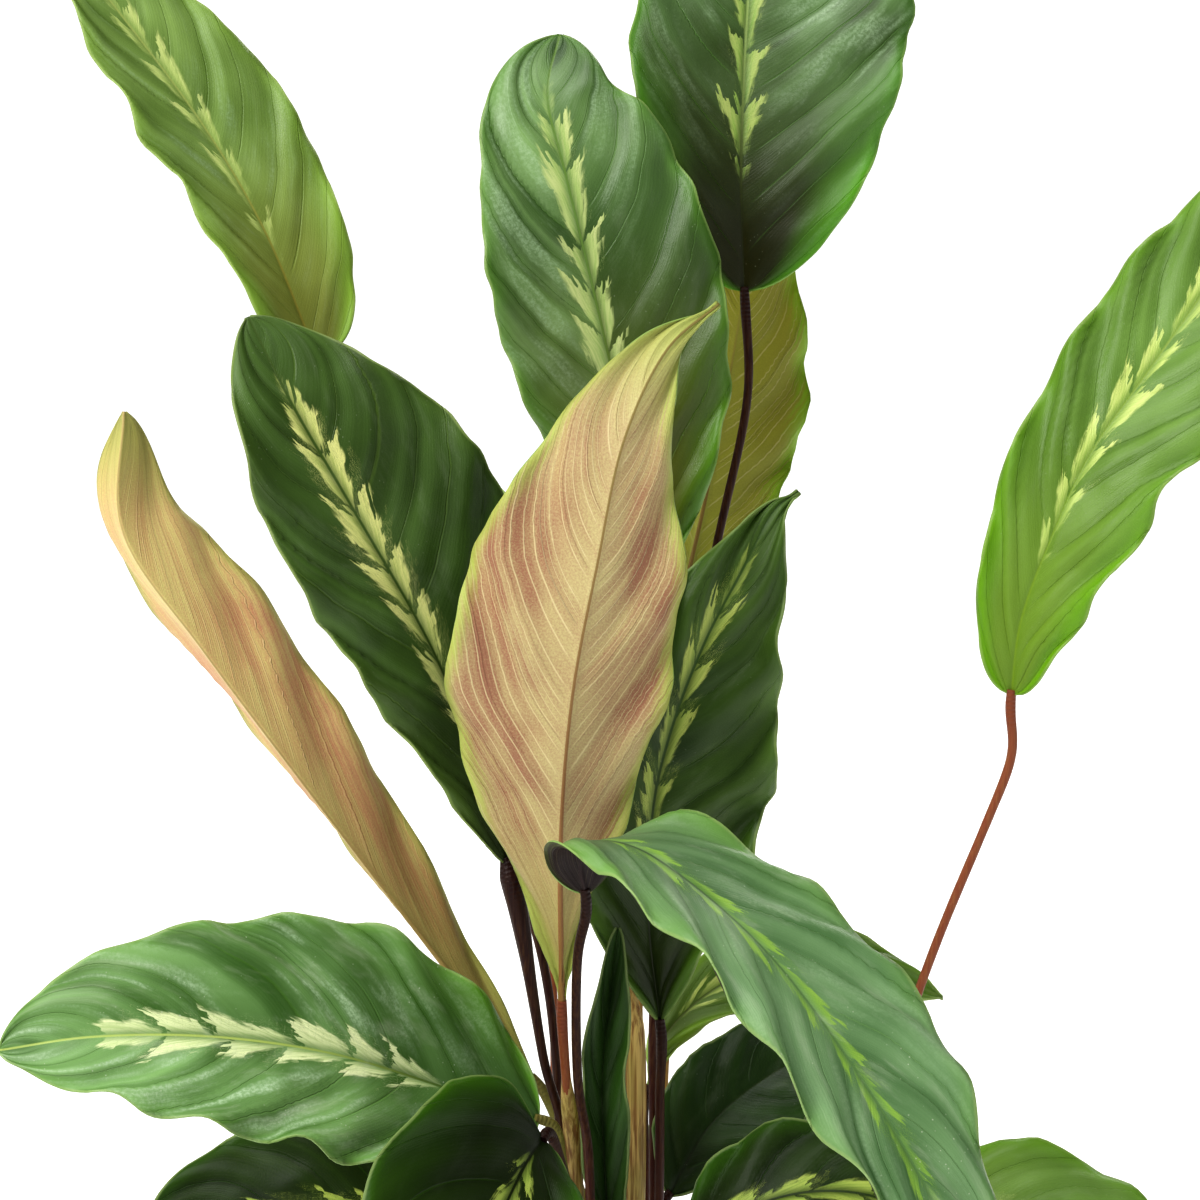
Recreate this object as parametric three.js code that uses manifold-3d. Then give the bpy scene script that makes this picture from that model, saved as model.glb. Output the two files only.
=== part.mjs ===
// A potted maui queen prayer plant: broad, wavy leaves, each on its own stalk, rising from soil in a plain clay pot.
// Millimetres, +Z up. The origin is the middle of the pot's underside.
// Looking along +Y, the plant is seen from its front, with +X to the right.

import * as THREE from "three";
import { mergeVertices } from "three/addons/utils/BufferGeometryUtils.js";
import Module from "manifold-3d";

const wasm = await Module();
wasm.setup();

// Driving dimensions of the pot
const POT_HEIGHT = 118;
const POT_FOOT_RADIUS = 47;
const POT_RIM_RADIUS = 70;
const POT_WALL = 5;
const POT_BASE = 8;
const RIM_BAND_HEIGHT = 24;
const RIM_BAND_STEP = 4;
const DRAIN_HOLES = 4;
const DRAIN_RADIUS = 5;
const DRAIN_CIRCLE = 24;
const DRAIN_CUT_LENGTH = 32;
const POT_EDGE = 1.5;
const POT_SEGMENTS = 36;
const DRAIN_SEGMENTS = 12;

// Driving dimensions of the soil
const SOIL_LEVEL = 105;
const SOIL_MOUND = 3;
const SOIL_EDGE_DROP = 2;
const SOIL_RINGS = 3;
const HOLE_TOP_ABOVE_SOIL = 9;

// Driving dimensions of the leaves and their stalks
const BLADE_THICKNESS = 0.7;
const RIB_DEPTH_BASE = 1.5;
const RIB_DEPTH_TIP = 0.3;
const LEAST_HALF_WIDTH = 0.8;
// The waves run out along the slanting veins, grow toward the margin and differ on the two sides
const VEIN_SLANT = 0.2;
const WAVE_GROWTH = 1.5;
const LEFT_WAVE_LAG = 1.3;
const STALK_SIDES = 6;
const STALK_RADIUS = 1.4;
const STALK_FOOT_RADIUS = 1.9;
const SHEATH_LENGTH = 60;
const KNEE_RADIUS = 1.75;
const KNEE_LENGTH = 14;
const KNEE_STEPS = 3;
const STALK_STEP = 24;
const LEAST_STALK_STEPS = 3;
const NECK_LENGTH = 5;
const FOOT_DEPTH = 18;
const GAP = 0.3;
const STALK_TO_BLADE = 0.45;
const HOLE_RADIUS = STALK_FOOT_RADIUS + 2 * GAP;

// Steps for the slope of a blade's surface, as shares of its length and of its half width
const SLOPE_STEP_ALONG = 0.02;
const SLOPE_STEP_ACROSS = 0.1;
// A half blade that doesn't curl turns by this angle, so that one formula serves both
const NO_CURL = 1e-4;
// How tightly curves bend at their points, and how close two points are that count as one
const CURVE_TENSION = 0.5;
const SAME_POINT = 1e-4;

const HALF_TURN = Math.PI;
const FULL_TURN = 2 * Math.PI;
const DEGREE = Math.PI / 180;

// The finishes: what each leaf shows first, and its stalk
const LEAF_COLOURS = {
  dark: 0x2f4a26,
  middle: 0x4d6b3c,
  grey: 0x5d7358,
  light: 0x7fa055,
  tan: 0xa9895f,
  olive: 0x7d8a45,
};
const STALK_COLOURS = {
  maroon: 0x3a2426,
  red: 0x8a4f34,
  gold: 0x9a7f45,
  green: 0x6f7f3c,
};
const SOIL_COLOUR = 0x2b1f17;
const CLAY_COLOUR = 0xb5673f;
const LEAF_ROUGHNESS = 0.45;
const STALK_ROUGHNESS = 0.5;
const SOIL_ROUGHNESS = 0.95;
const CLAY_ROUGHNESS = 0.85;

// Every leaf of the plant.
//   stalk: points of its stalk, from where it leaves the soil up to just under the blade
//   rib: points of its midrib, from the blade's base to its tip
//   face: where its upper side looks, at even steps from base to tip
//   half: widths of its left and right half, seen from above with the tip ahead
//   widest: the share of its length at which it is widest
//   taper: powers that shape its outline below and above that place
//   fold: degrees by which both halves rise from the midrib, at even steps from base to tip
//   curl: degrees by which a half turns further on its way to its margin
//   waves, swell, phase: number, height and start of the waves along its margins
//   steps: how many rows of faces it has along its length
//   looks: the finishes of the blade and of the stalk
const LEAVES = [
  {
    name: "high_left",
    stalk: [[-13, 8, SOIL_LEVEL], [-13, 6, 209], [-19, 10, 261], [-36, 16, 297], [-54, 22, 346]],
    rib: [[-75, 28, 408], [-88, 34, 439], [-104, 40, 466], [-126, 46, 495], [-148, 54, 521]],
    face: [[0.45, -0.8, 0.35], [0.45, -0.8, 0.35]],
    half: [18, 23], widest: 0.48, taper: [0.33, 0.9], fold: [12, 6], curl: 6,
    waves: 5, swell: 1.4, phase: 0.4, steps: 20, looks: ["middle", "maroon"],
  },
  {
    name: "high_centre",
    stalk: [[5, 18, SOIL_LEVEL], [6, 12, 215], [3, 16, 260], [4, 20, 294], [8, 26, 322]],
    rib: [[12, 30, 349], [5, 30, 384], [-3, 32, 420], [-11, 36, 453], [-16, 44, 474], [-13, 58, 490]],
    face: [[0, -1, 0.1], [0, -1, 0.2], [0, -0.75, 0.7]],
    half: [26, 33], widest: 0.5, taper: [0.75, 0.6], fold: [14, 6], curl: -6,
    waves: 5, swell: 2.4, phase: 1.2, steps: 21, looks: ["grey", "gold"],
  },
  {
    name: "centre_underside",
    stalk: [[-6, -9, SOIL_LEVEL], [-9, -8, 200], [-11, -14, 229]],
    rib: [[-12, -19, 251], [-12, -28, 297], [-9, -32, 333], [-3, -32, 365], [3, -29, 393], [13, -23, 414], [26, -16, 425]],
    face: [[0.1, 1, 0], [0, 1, 0], [0, 1, 0]],
    half: [24, 33], widest: 0.48, taper: [1.35, 1.3], fold: [35, 16, 20], curl: 0,
    waves: 5, swell: 2.6, phase: 2.0, steps: 22, looks: ["tan", "red"],
  },
  {
    name: "left_centre",
    stalk: [[-14, -2, SOIL_LEVEL], [-11, -2, 198], [-17, -5, 232], [-22, -8, 266]],
    rib: [[-26, -6, 284], [-32, -2, 306], [-45, -2, 339], [-64, -3, 374], [-78, 0, 398], [-90, 8, 420]],
    face: [[0.6, -0.75, 0.15], [0.42, -0.85, 0.2], [0.35, -0.9, 0.2], [0.3, -0.9, 0.2], [0.3, -0.9, 0.2]],
    half: [23, 35], widest: 0.56, taper: [0.5, 0.65], fold: [24, 15, 10, 8, 6], curl: 0,
    waves: 5, swell: 2.4, phase: 0, steps: 22, looks: ["dark", "maroon"],
  },
  {
    name: "high_right",
    stalk: [[12, 26, SOIL_LEVEL], [12, 30, 194], [12, 36, 234], [17, 44, 293], [28, 52, 352], [37, 57, 394]],
    rib: [[36, 60, 423], [35, 63, 452], [36, 70, 482], [38, 84, 510], [40, 106, 532], [42, 134, 539]],
    face: [[0, -1, 0.1], [0, -1, 0.4], [0, -0.5, 1]],
    half: [31, 43], widest: 0.48, taper: [0.5, 0.8], fold: [14, 6], curl: -6,
    waves: 5, swell: 2.6, phase: 2.6, steps: 21, looks: ["dark", "maroon"],
  },
  {
    name: "back_right",
    stalk: [[1, 30, SOIL_LEVEL], [8, 34, 198], [8, 44, 237], [11, 56, 290]],
    rib: [[20, 68, 338], [27, 76, 367], [33, 82, 397], [38, 86, 427], [42, 88, 454]],
    face: [[0, 1, 0], [0, 1, 0]],
    half: [23, 24], widest: 0.45, taper: [0.7, 0.9], fold: [14, 8], curl: 0,
    waves: 5, swell: 2.2, phase: 0.5, steps: 18, looks: ["olive", "gold"],
  },
  {
    name: "right_centre",
    stalk: [[12, 5, SOIL_LEVEL], [13, 4, 196], [13, 3, 219]],
    rib: [[13, 2, 239], [10, 2, 267], [11, 2, 296], [16, 2, 318], [24, 3, 339], [33, 6, 356], [41, 12, 370], [48, 17, 375]],
    face: [[0, -1, 0], [0.1, -1, 0.1], [0, -0.8, 0.6]],
    half: [23, 29], widest: 0.42, taper: [0.9, 1.15], fold: [30, 10, 10], curl: 0,
    waves: 5, swell: 3.4, phase: 3.4, steps: 21, looks: ["dark", "maroon"],
  },
  {
    name: "front_arching",
    stalk: [[-6, -18, SOIL_LEVEL], [-5, -20, 202], [-8, -30, 235], [-8, -40, 269]],
    rib: [[-6, -48, 288], [-7, -50, 297], [-2, -56, 303], [12, -65, 300], [36, -83, 283], [58, -101, 256], [73, -114, 231], [86, -120, 206]],
    face: [[-0.1, 1, 0.3], [-0.3, 0, 1], [0.15, -0.15, 1], [0.35, -0.4, 0.75], [0.3, -0.6, 0.7], [0.4, -0.6, 0.6], [0.6, -0.5, 0.6]],
    half: [27, 22], widest: 0.45, taper: [0.55, 0.9], fold: [0, 8, 8], curl: 0,
    waves: 6, swell: 2.4, phase: 0.6, steps: 24, looks: ["grey", "maroon"],
  },
  {
    name: "far_right",
    stalk: [[30, 7, SOIL_LEVEL], [35, 7, 122], [49, 8, 155], [68, 8, 208], [84, 10, 256], [97, 12, 289], [104, 13.5, 308]],
    rib: [[103, 14, 323], [105, 14, 342], [112, 14, 363], [122, 16, 385], [137, 20, 406], [154, 27, 429], [170, 36, 451], [180, 46, 472]],
    face: [[-0.45, -0.85, 0.3], [-0.45, -0.85, 0.3]],
    half: [21, 27], widest: 0.6, taper: [0.45, 0.8], fold: [14, 6], curl: 0,
    waves: 6, swell: 2.4, phase: 1, steps: 24, looks: ["middle", "red"],
  },
  {
    name: "left_rolled",
    stalk: [[-10, 22, SOIL_LEVEL], [-6, 18, 172], [-10, 17, 195]],
    rib: [[-20, 18, 218], [-46, 22, 251], [-77, 26, 292], [-106, 30, 331], [-127, 34, 362], [-127, 40, 393]],
    face: [[0.2, 1, 0.2], [0.2, 1, 0.2]],
    half: [24, 25], widest: 0.68, taper: [0.8, 0.6], fold: [66, 60, 48], curl: 0,
    waves: 5, swell: 1.6, phase: 0, steps: 20, looks: ["tan", "green"],
  },
  {
    name: "left_low",
    stalk: [[-15, -12, SOIL_LEVEL], [-9, -14, 183], [-12, -15, 207]],
    rib: [[-18, -17, 220], [-42, -26, 232], [-68, -36, 244], [-96, -44, 251], [-123, -50, 253], [-145, -54, 251]],
    face: [[0, -0.7, 0.7], [0, -0.7, 0.7]],
    half: [31, 33], widest: 0.4, taper: [0.6, 0.6], fold: [16, 12], curl: 4,
    waves: 6, swell: 2.4, phase: 2, steps: 24, looks: ["grey", "green"],
  },
  {
    name: "low_left",
    stalk: [[-22, 14, SOIL_LEVEL], [-20, 16, 140]],
    rib: [[-24, 17, 166], [-46, 14, 180], [-73, 8, 186], [-102, 4, 183], [-128, 0, 170]],
    face: [[0, -0.6, 0.8], [0, -0.6, 0.8]],
    half: [26, 28], widest: 0.45, taper: [0.7, 0.8], fold: [14, 10], curl: 0,
    waves: 5, swell: 2, phase: 1, steps: 18, looks: ["dark", "green"],
  },
  {
    name: "front_low",
    stalk: [[-8, -27, SOIL_LEVEL], [-7, -30, 186], [-11, -44, 215]],
    rib: [[-16, -54, 229], [-20, -68, 228], [-27, -86, 218], [-35, -102, 198], [-42, -115, 172], [-47, -124, 146]],
    face: [[0.55, -0.6, 0.55], [0.5, -0.6, 0.55], [0.1, -0.7, 0.5]],
    half: [22, 36], widest: 0.38, taper: [0.42, 0.8], fold: [14, 10], curl: 0,
    waves: 4, swell: 2.2, phase: 1, steps: 19, looks: ["dark", "maroon"],
  },
  {
    name: "low_right",
    stalk: [[14, -8, SOIL_LEVEL], [12, -8, 160]],
    rib: [[18, -12, 184], [34, -17, 196], [51, -20, 202], [68, -22, 201], [84, -22, 192]],
    face: [[0, -0.6, 0.8], [0, -0.6, 0.8]],
    half: [20, 22], widest: 0.45, taper: [0.7, 0.8], fold: [12, 8], curl: 0,
    waves: 4, swell: 2, phase: 0, steps: 17, looks: ["dark", "maroon"],
  },
  {
    name: "low_far_right",
    stalk: [[26, 20, SOIL_LEVEL], [31, 21, 122], [48, 23, 154]],
    rib: [[72, 22, 174], [96, 20, 182], [120, 16, 178], [142, 10, 164], [160, 2, 144]],
    face: [[0, -0.5, 0.85], [0.2, -0.5, 0.8]],
    half: [22, 22], widest: 0.45, taper: [0.7, 0.9], fold: [12, 8], curl: 0,
    waves: 4, swell: 2, phase: 2, steps: 17, looks: ["light", "red"],
  },
  {
    name: "right_inner",
    stalk: [[14, 16, SOIL_LEVEL], [14, 18, 160]],
    rib: [[16, 22, 184], [26, 26, 201], [39, 30, 212], [53, 36, 218], [66, 44, 218]],
    face: [[-0.2, -0.8, 0.5], [-0.1, -0.8, 0.6]],
    half: [17, 17], widest: 0.45, taper: [0.7, 0.8], fold: [12, 8], curl: 0,
    waves: 4, swell: 1.6, phase: 0, steps: 15, looks: ["dark", "maroon"],
  },
  {
    name: "back_right_low",
    stalk: [[8, 38, SOIL_LEVEL], [10, 38, 173]],
    rib: [[11, 46, 205], [16, 50, 220], [32, 57, 232], [54, 66, 235], [76, 75, 230], [96, 84, 219]],
    face: [[0, -0.7, 0.7], [0, -0.7, 0.7]],
    half: [12, 13], widest: 0.5, taper: [1.1, 0.8], fold: [12, 8], curl: 0,
    waves: 4, swell: 2, phase: 0, steps: 17, looks: ["middle", "maroon"],
  },
  {
    name: "inner_upright",
    stalk: [[3, -13, SOIL_LEVEL], [2, -10, 145]],
    rib: [[1, -9, 172], [-1, -9, 199], [-2, -8, 226], [0, -7, 250], [2, -6, 267]],
    face: [[0.1, -1, 0], [0.1, -1, 0]],
    half: [8.5, 8.5], widest: 0.5, taper: [0.7, 0.5], fold: [45, 45], curl: 0,
    waves: 3, swell: 0.8, phase: 0, steps: 13, looks: ["dark", "gold"],
  },
  {
    name: "front_small",
    stalk: [[6, -24, SOIL_LEVEL], [8, -28, 150]],
    rib: [[9, -34, 176], [9, -42, 192], [8, -53, 200], [7, -68, 200]],
    face: [[0, -0.8, 0.6], [0, -0.4, 0.9]],
    half: [13, 13], widest: 0.45, taper: [0.6, 0.8], fold: [12, 8], curl: 0,
    waves: 3, swell: 1.4, phase: 0, steps: 13, looks: ["grey", "green"],
  },
  {
    name: "back_tall",
    stalk: [[-16, 34, SOIL_LEVEL], [-15, 38, 170], [-15, 45, 220]],
    rib: [[-17, 55, 258], [-21, 63, 294], [-29, 71, 330], [-38, 79, 360], [-44, 87, 380]],
    face: [[0.1, -1, 0.1], [0.1, -1, 0.2]],
    half: [23, 23], widest: 0.48, taper: [0.8, 0.9], fold: [20, 8], curl: 0,
    waves: 5, swell: 2.2, phase: 1.5, steps: 18, looks: ["middle", "red"],
  },
  {
    name: "back_middle",
    stalk: [[12, 46, SOIL_LEVEL], [15, 60, 190], [17, 70, 224]],
    rib: [[20, 80, 252], [25, 90, 285], [30, 99, 318], [34, 109, 346]],
    face: [[0, -1, 0.2], [0, -1, 0.4]],
    half: [17, 17], widest: 0.45, taper: [0.7, 0.9], fold: [16, 8], curl: 0,
    waves: 4, swell: 1.8, phase: 0.5, steps: 15, looks: ["dark", "gold"],
  },
  {
    name: "back_left",
    stalk: [[-20, 30, SOIL_LEVEL], [-24, 36, 122], [-33, 49, 144]],
    rib: [[-44, 66, 158], [-55, 86, 170], [-70, 108, 170], [-86, 128, 154]],
    face: [[0.1, -0.1, 1], [-0.3, 0.3, 0.8]],
    half: [22, 22], widest: 0.45, taper: [0.7, 0.8], fold: [12, 8], curl: 0,
    waves: 4, swell: 2, phase: 1, steps: 15, looks: ["dark", "green"],
  },
  {
    name: "back_centre",
    stalk: [[-4, 42, SOIL_LEVEL], [-3, 47, 122], [0, 60, 148]],
    rib: [[4, 74, 162], [8, 94, 172], [12, 116, 168], [14, 136, 150]],
    face: [[0, -0.1, 1], [0, 0.4, 0.8]],
    half: [22, 22], widest: 0.45, taper: [0.7, 0.8], fold: [12, 8], curl: 0,
    waves: 4, swell: 2, phase: 2, steps: 15, looks: ["middle", "maroon"],
  },
  {
    name: "back_right_outer",
    stalk: [[22, 36, SOIL_LEVEL], [26, 42, 122], [36, 56, 146]],
    rib: [[48, 72, 160], [66, 90, 173], [86, 106, 172], [104, 120, 156]],
    face: [[0, -0.1, 1], [0.3, 0.3, 0.8]],
    half: [22, 22], widest: 0.45, taper: [0.7, 0.8], fold: [12, 8], curl: 0,
    waves: 4, swell: 2, phase: 0, steps: 15, looks: ["dark", "red"],
  },
  {
    name: "side_left",
    stalk: [[-28, 0, SOIL_LEVEL], [-33, 1, 120], [-46, 2, 138]],
    rib: [[-62, 4, 148], [-84, 6, 154], [-108, 6, 148], [-128, 4, 128]],
    face: [[0, 0, 1], [-0.3, 0, 0.8]],
    half: [20, 20], widest: 0.45, taper: [0.7, 0.8], fold: [12, 8], curl: 0,
    waves: 4, swell: 1.8, phase: 2, steps: 15, looks: ["middle", "maroon"],
  },
  {
    name: "front_left",
    stalk: [[-20, -24, SOIL_LEVEL], [-24, -29, 120], [-34, -42, 140]],
    rib: [[-46, -56, 150], [-62, -74, 155], [-80, -92, 146], [-94, -106, 126]],
    face: [[0, 0, 1], [-0.3, -0.3, 0.8]],
    half: [20, 20], widest: 0.45, taper: [0.7, 0.8], fold: [12, 8], curl: 0,
    waves: 4, swell: 1.8, phase: 0, steps: 15, looks: ["dark", "green"],
  },
  {
    name: "front_right",
    stalk: [[22, -22, SOIL_LEVEL], [26, -27, 120], [35, -38, 140]],
    rib: [[46, -50, 150], [62, -64, 156], [80, -80, 148], [94, -92, 128]],
    face: [[0, 0, 1], [0.3, -0.3, 0.8]],
    half: [20, 20], widest: 0.45, taper: [0.7, 0.8], fold: [12, 8], curl: 0,
    waves: 4, swell: 1.8, phase: 1, steps: 15, looks: ["light", "maroon"],
  },
];

// Where across a blade its points lie, as shares of the half width: the left margin is -1 and the right one 1.
const ACROSS = [-1, -0.5, 0, 0.5, 1];

const vector = (p) => new THREE.Vector3(...p);
const curveThrough = (points) => new THREE.CatmullRomCurve3(points.map(vector), false, "catmullrom", CURVE_TENSION);

// The value of a list at share s, where the list's entries lie at even steps from 0 to 1.
function along(list, s) {
  const place = s * (list.length - 1);
  const k = Math.min(Math.floor(place), list.length - 2);
  return THREE.MathUtils.lerp(list[k], list[k + 1], place - k);
}

// Half the blade's width at share s of its length: a round base and a drawn-out tip.
function halfWidth(leaf, s, side) {
  const full = leaf.half[side < 0 ? 0 : 1];
  const shape =
    s < leaf.widest
      ? Math.sin((0.5 * HALF_TURN * s) / leaf.widest) ** leaf.taper[0]
      : Math.max(0, Math.cos((0.5 * HALF_TURN * (s - leaf.widest)) / (1 - leaf.widest))) ** leaf.taper[1];
  return Math.max(LEAST_HALF_WIDTH, full * shape);
}

// The midrib's point at share s, with the directions along it, to the upper side and to the right.
function ribFrame(leaf, s) {
  const point = leaf.curve.getPointAt(s);
  const ahead = leaf.curve.getTangentAt(s);
  const up = new THREE.Vector3(
    along(leaf.face.map((f) => f[0]), s),
    along(leaf.face.map((f) => f[1]), s),
    along(leaf.face.map((f) => f[2]), s),
  );
  up.addScaledVector(ahead, -up.dot(ahead)).normalize();
  return { point, up, right: new THREE.Vector3().crossVectors(ahead, up) };
}

// A point of the blade's middle surface: s from base to tip, t from the left margin to the right one.
function bladePoint(leaf, s, t) {
  const side = t < 0 ? -1 : 1;
  const across = Math.abs(t);
  const { point, up, right } = ribFrame(leaf, s);
  const width = halfWidth(leaf, s, side);
  const rise = along(leaf.fold, s) * DEGREE;
  const turn = leaf.curl * DEGREE || NO_CURL;
  // The half blade leaves the midrib at the fold's angle and turns on an arc as far as its margin.
  const out = (width * (Math.sin(rise + turn * across) - Math.sin(rise))) / turn;
  const lift = (width * (Math.cos(rise) - Math.cos(rise + turn * across))) / turn;
  const lean = rise + turn * across;
  const growth = across ** WAVE_GROWTH;
  const ends = Math.sqrt(Math.sin(HALF_TURN * s));
  const lag = side < 0 ? LEFT_WAVE_LAG : 0;
  const turns = FULL_TURN * leaf.waves * (s - VEIN_SLANT * growth) + leaf.phase + lag;
  const wave = leaf.swell * growth * ends * Math.sin(turns);
  return point
    .clone()
    .addScaledVector(right, side * (out - wave * Math.sin(lean)))
    .addScaledVector(up, lift + wave * Math.cos(lean));
}

// The upper side's direction at a point of the blade, from the surface itself.
function bladeNormal(leaf, s, t) {
  const s0 = Math.max(0, s - SLOPE_STEP_ALONG);
  const s1 = Math.min(1, s + SLOPE_STEP_ALONG);
  const t0 = Math.max(-1, t - SLOPE_STEP_ACROSS);
  const t1 = Math.min(1, t + SLOPE_STEP_ACROSS);
  const ahead = bladePoint(leaf, s1, t).sub(bladePoint(leaf, s0, t));
  const right = bladePoint(leaf, s, t1).sub(bladePoint(leaf, s, t0));
  return right.cross(ahead).normalize();
}

// Rows lie closer together toward the blade's two ends, where its outline turns fastest.
function rowPlace(even) {
  const eased = (1 - Math.cos(HALF_TURN * even)) / 2;
  return (even + eased) / 2;
}

// One blade as a closed shell, its upper and lower faces split into triangles alike.
function bladeGeometry(leaf) {
  const rows = leaf.steps + 1;
  const columns = ACROSS.length;
  const points = [];
  for (const lower of [false, true]) {
    for (let k = 0; k < rows; k++) {
      const s = rowPlace(k / leaf.steps);
      for (const t of ACROSS) {
        const ribDepth = t === 0 && lower ? THREE.MathUtils.lerp(RIB_DEPTH_BASE, RIB_DEPTH_TIP, s) : 0;
        const offset = lower ? -BLADE_THICKNESS / 2 - ribDepth : BLADE_THICKNESS / 2;
        points.push(bladePoint(leaf, s, t).addScaledVector(bladeNormal(leaf, s, t), offset));
      }
    }
  }
  const upper = (k, i) => k * columns + i;
  const lower = (k, i) => (rows + k) * columns + i;
  const faces = [];
  const quad = (a, b, c, d) => faces.push([a, b, c], [a, c, d]);
  for (let k = 0; k < leaf.steps; k++) {
    for (let i = 0; i < columns - 1; i++) {
      faces.push([upper(k, i), upper(k, i + 1), upper(k + 1, i + 1)]);
      faces.push([upper(k, i), upper(k + 1, i + 1), upper(k + 1, i)]);
      faces.push([lower(k, i), lower(k + 1, i + 1), lower(k, i + 1)]);
      faces.push([lower(k, i), lower(k + 1, i), lower(k + 1, i + 1)]);
    }
    const last = columns - 1;
    quad(upper(k, 0), upper(k + 1, 0), lower(k + 1, 0), lower(k, 0));
    quad(upper(k, last), lower(k, last), lower(k + 1, last), upper(k + 1, last));
  }
  for (let i = 0; i < columns - 1; i++) {
    quad(upper(0, i), lower(0, i), lower(0, i + 1), upper(0, i + 1));
    quad(upper(leaf.steps, i), upper(leaf.steps, i + 1), lower(leaf.steps, i + 1), lower(leaf.steps, i));
  }
  return shell(points, faces);
}

// A closed mesh from points and triangles.
function shell(points, faces) {
  const geometry = new THREE.BufferGeometry().setFromPoints(points);
  geometry.setIndex(faces.flat());
  geometry.computeVertexNormals();
  return geometry;
}

// A round stalk along a curve, with a ring at each length walked and a radius that follows a function of it.
function tubeGeometry(curve, walks, radiusAt, sides = STALK_SIDES) {
  const length = curve.getLength();
  const steps = walks.length - 1;
  const points = [];
  const faces = [];
  const across = new THREE.Vector3(0, 1, 0);
  for (const walk of walks) {
    const share = Math.min(1, walk / length);
    const centre = curve.getPointAt(share);
    const ahead = curve.getTangentAt(share);
    across.addScaledVector(ahead, -across.dot(ahead)).normalize();
    const beside = new THREE.Vector3().crossVectors(ahead, across);
    const radius = radiusAt(walk, length);
    for (let i = 0; i < sides; i++) {
      const angle = (FULL_TURN * i) / sides;
      points.push(
        centre
          .clone()
          .addScaledVector(across, radius * Math.cos(angle))
          .addScaledVector(beside, radius * Math.sin(angle)),
      );
    }
  }
  const at = (k, i) => k * sides + (i % sides);
  for (let k = 0; k < steps; k++) {
    for (let i = 0; i < sides; i++) {
      faces.push([at(k, i), at(k, i + 1), at(k + 1, i + 1)], [at(k, i), at(k + 1, i + 1), at(k + 1, i)]);
    }
  }
  for (let i = 1; i < sides - 1; i++) {
    faces.push([at(0, 0), at(0, i + 1), at(0, i)], [at(steps, 0), at(steps, i), at(steps, i + 1)]);
  }
  return shell(points, faces);
}

// The stalk's line: straight up from its foot in the soil, and bent at its neck to meet the midrib end on.
function stalkCurve(leaf) {
  const points = leaf.stalk.map(vector);
  const first = points[1].clone().sub(points[0]).normalize();
  const foot = points[0].clone().addScaledVector(first, -FOOT_DEPTH);
  const base = vector(leaf.rib[0]);
  const ahead = leaf.curve.getTangentAt(0);
  const neck = base.clone().addScaledVector(ahead, -NECK_LENGTH);
  const head = base.clone().addScaledVector(ahead, -STALK_TO_BLADE);
  return curveThrough([foot, ...points, neck, head].map((p) => p.toArray()));
}

// The lengths at which a stalk gets a ring: even steps, and closer ones at the knee.
function stalkWalks(length) {
  const plain = length - KNEE_LENGTH;
  const steps = Math.max(LEAST_STALK_STEPS, Math.round(plain / STALK_STEP));
  const walks = [];
  for (let k = 0; k < steps; k++) walks.push((plain * k) / steps);
  for (let k = 0; k <= KNEE_STEPS; k++) walks.push(plain + (KNEE_LENGTH * k) / KNEE_STEPS);
  return walks;
}

// A stalk is thickest at its sheathed foot and swells again at the knee under its blade.
function stalkRadius(walked, length) {
  const fromFoot = Math.exp(-walked / SHEATH_LENGTH);
  const knee = Math.exp(-(((length - walked) / KNEE_LENGTH) ** 2));
  const plain = THREE.MathUtils.lerp(STALK_RADIUS, STALK_FOOT_RADIUS, fromFoot);
  return plain + (KNEE_RADIUS - STALK_RADIUS) * knee;
}

// A mesh's geometry as a solid that can be cut.
function solidOf(geometry) {
  const bare = new THREE.BufferGeometry().setAttribute("position", geometry.getAttribute("position"));
  if (geometry.index) bare.setIndex(geometry.index);
  const merged = mergeVertices(bare, SAME_POINT);
  return new wasm.Manifold(
    new wasm.Mesh({
      numProp: 3,
      vertProperties: merged.attributes.position.array,
      triVerts: new Uint32Array(merged.index.array),
    }),
  );
}

// A cut solid as a geometry again.
function geometryOf(solid) {
  const mesh = solid.getMesh();
  const geometry = new THREE.BufferGeometry();
  geometry.setAttribute("position", new THREE.BufferAttribute(mesh.vertProperties, 3));
  geometry.setIndex(new THREE.BufferAttribute(mesh.triVerts, 1));
  geometry.computeVertexNormals();
  return geometry;
}

// A body of revolution about the Z axis, from points of radius and height that start and end on the axis.
function turned(profile, segments) {
  const geometry = new THREE.LatheGeometry(profile.map(([r, z]) => new THREE.Vector2(r, z)), segments);
  geometry.rotateX(HALF_TURN / 2);
  return geometry;
}

// The inside radius of the pot at a height.
function insideRadius(z) {
  const share = z / POT_HEIGHT;
  return THREE.MathUtils.lerp(POT_FOOT_RADIUS, POT_RIM_RADIUS - RIM_BAND_STEP, share) - POT_WALL;
}

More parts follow.
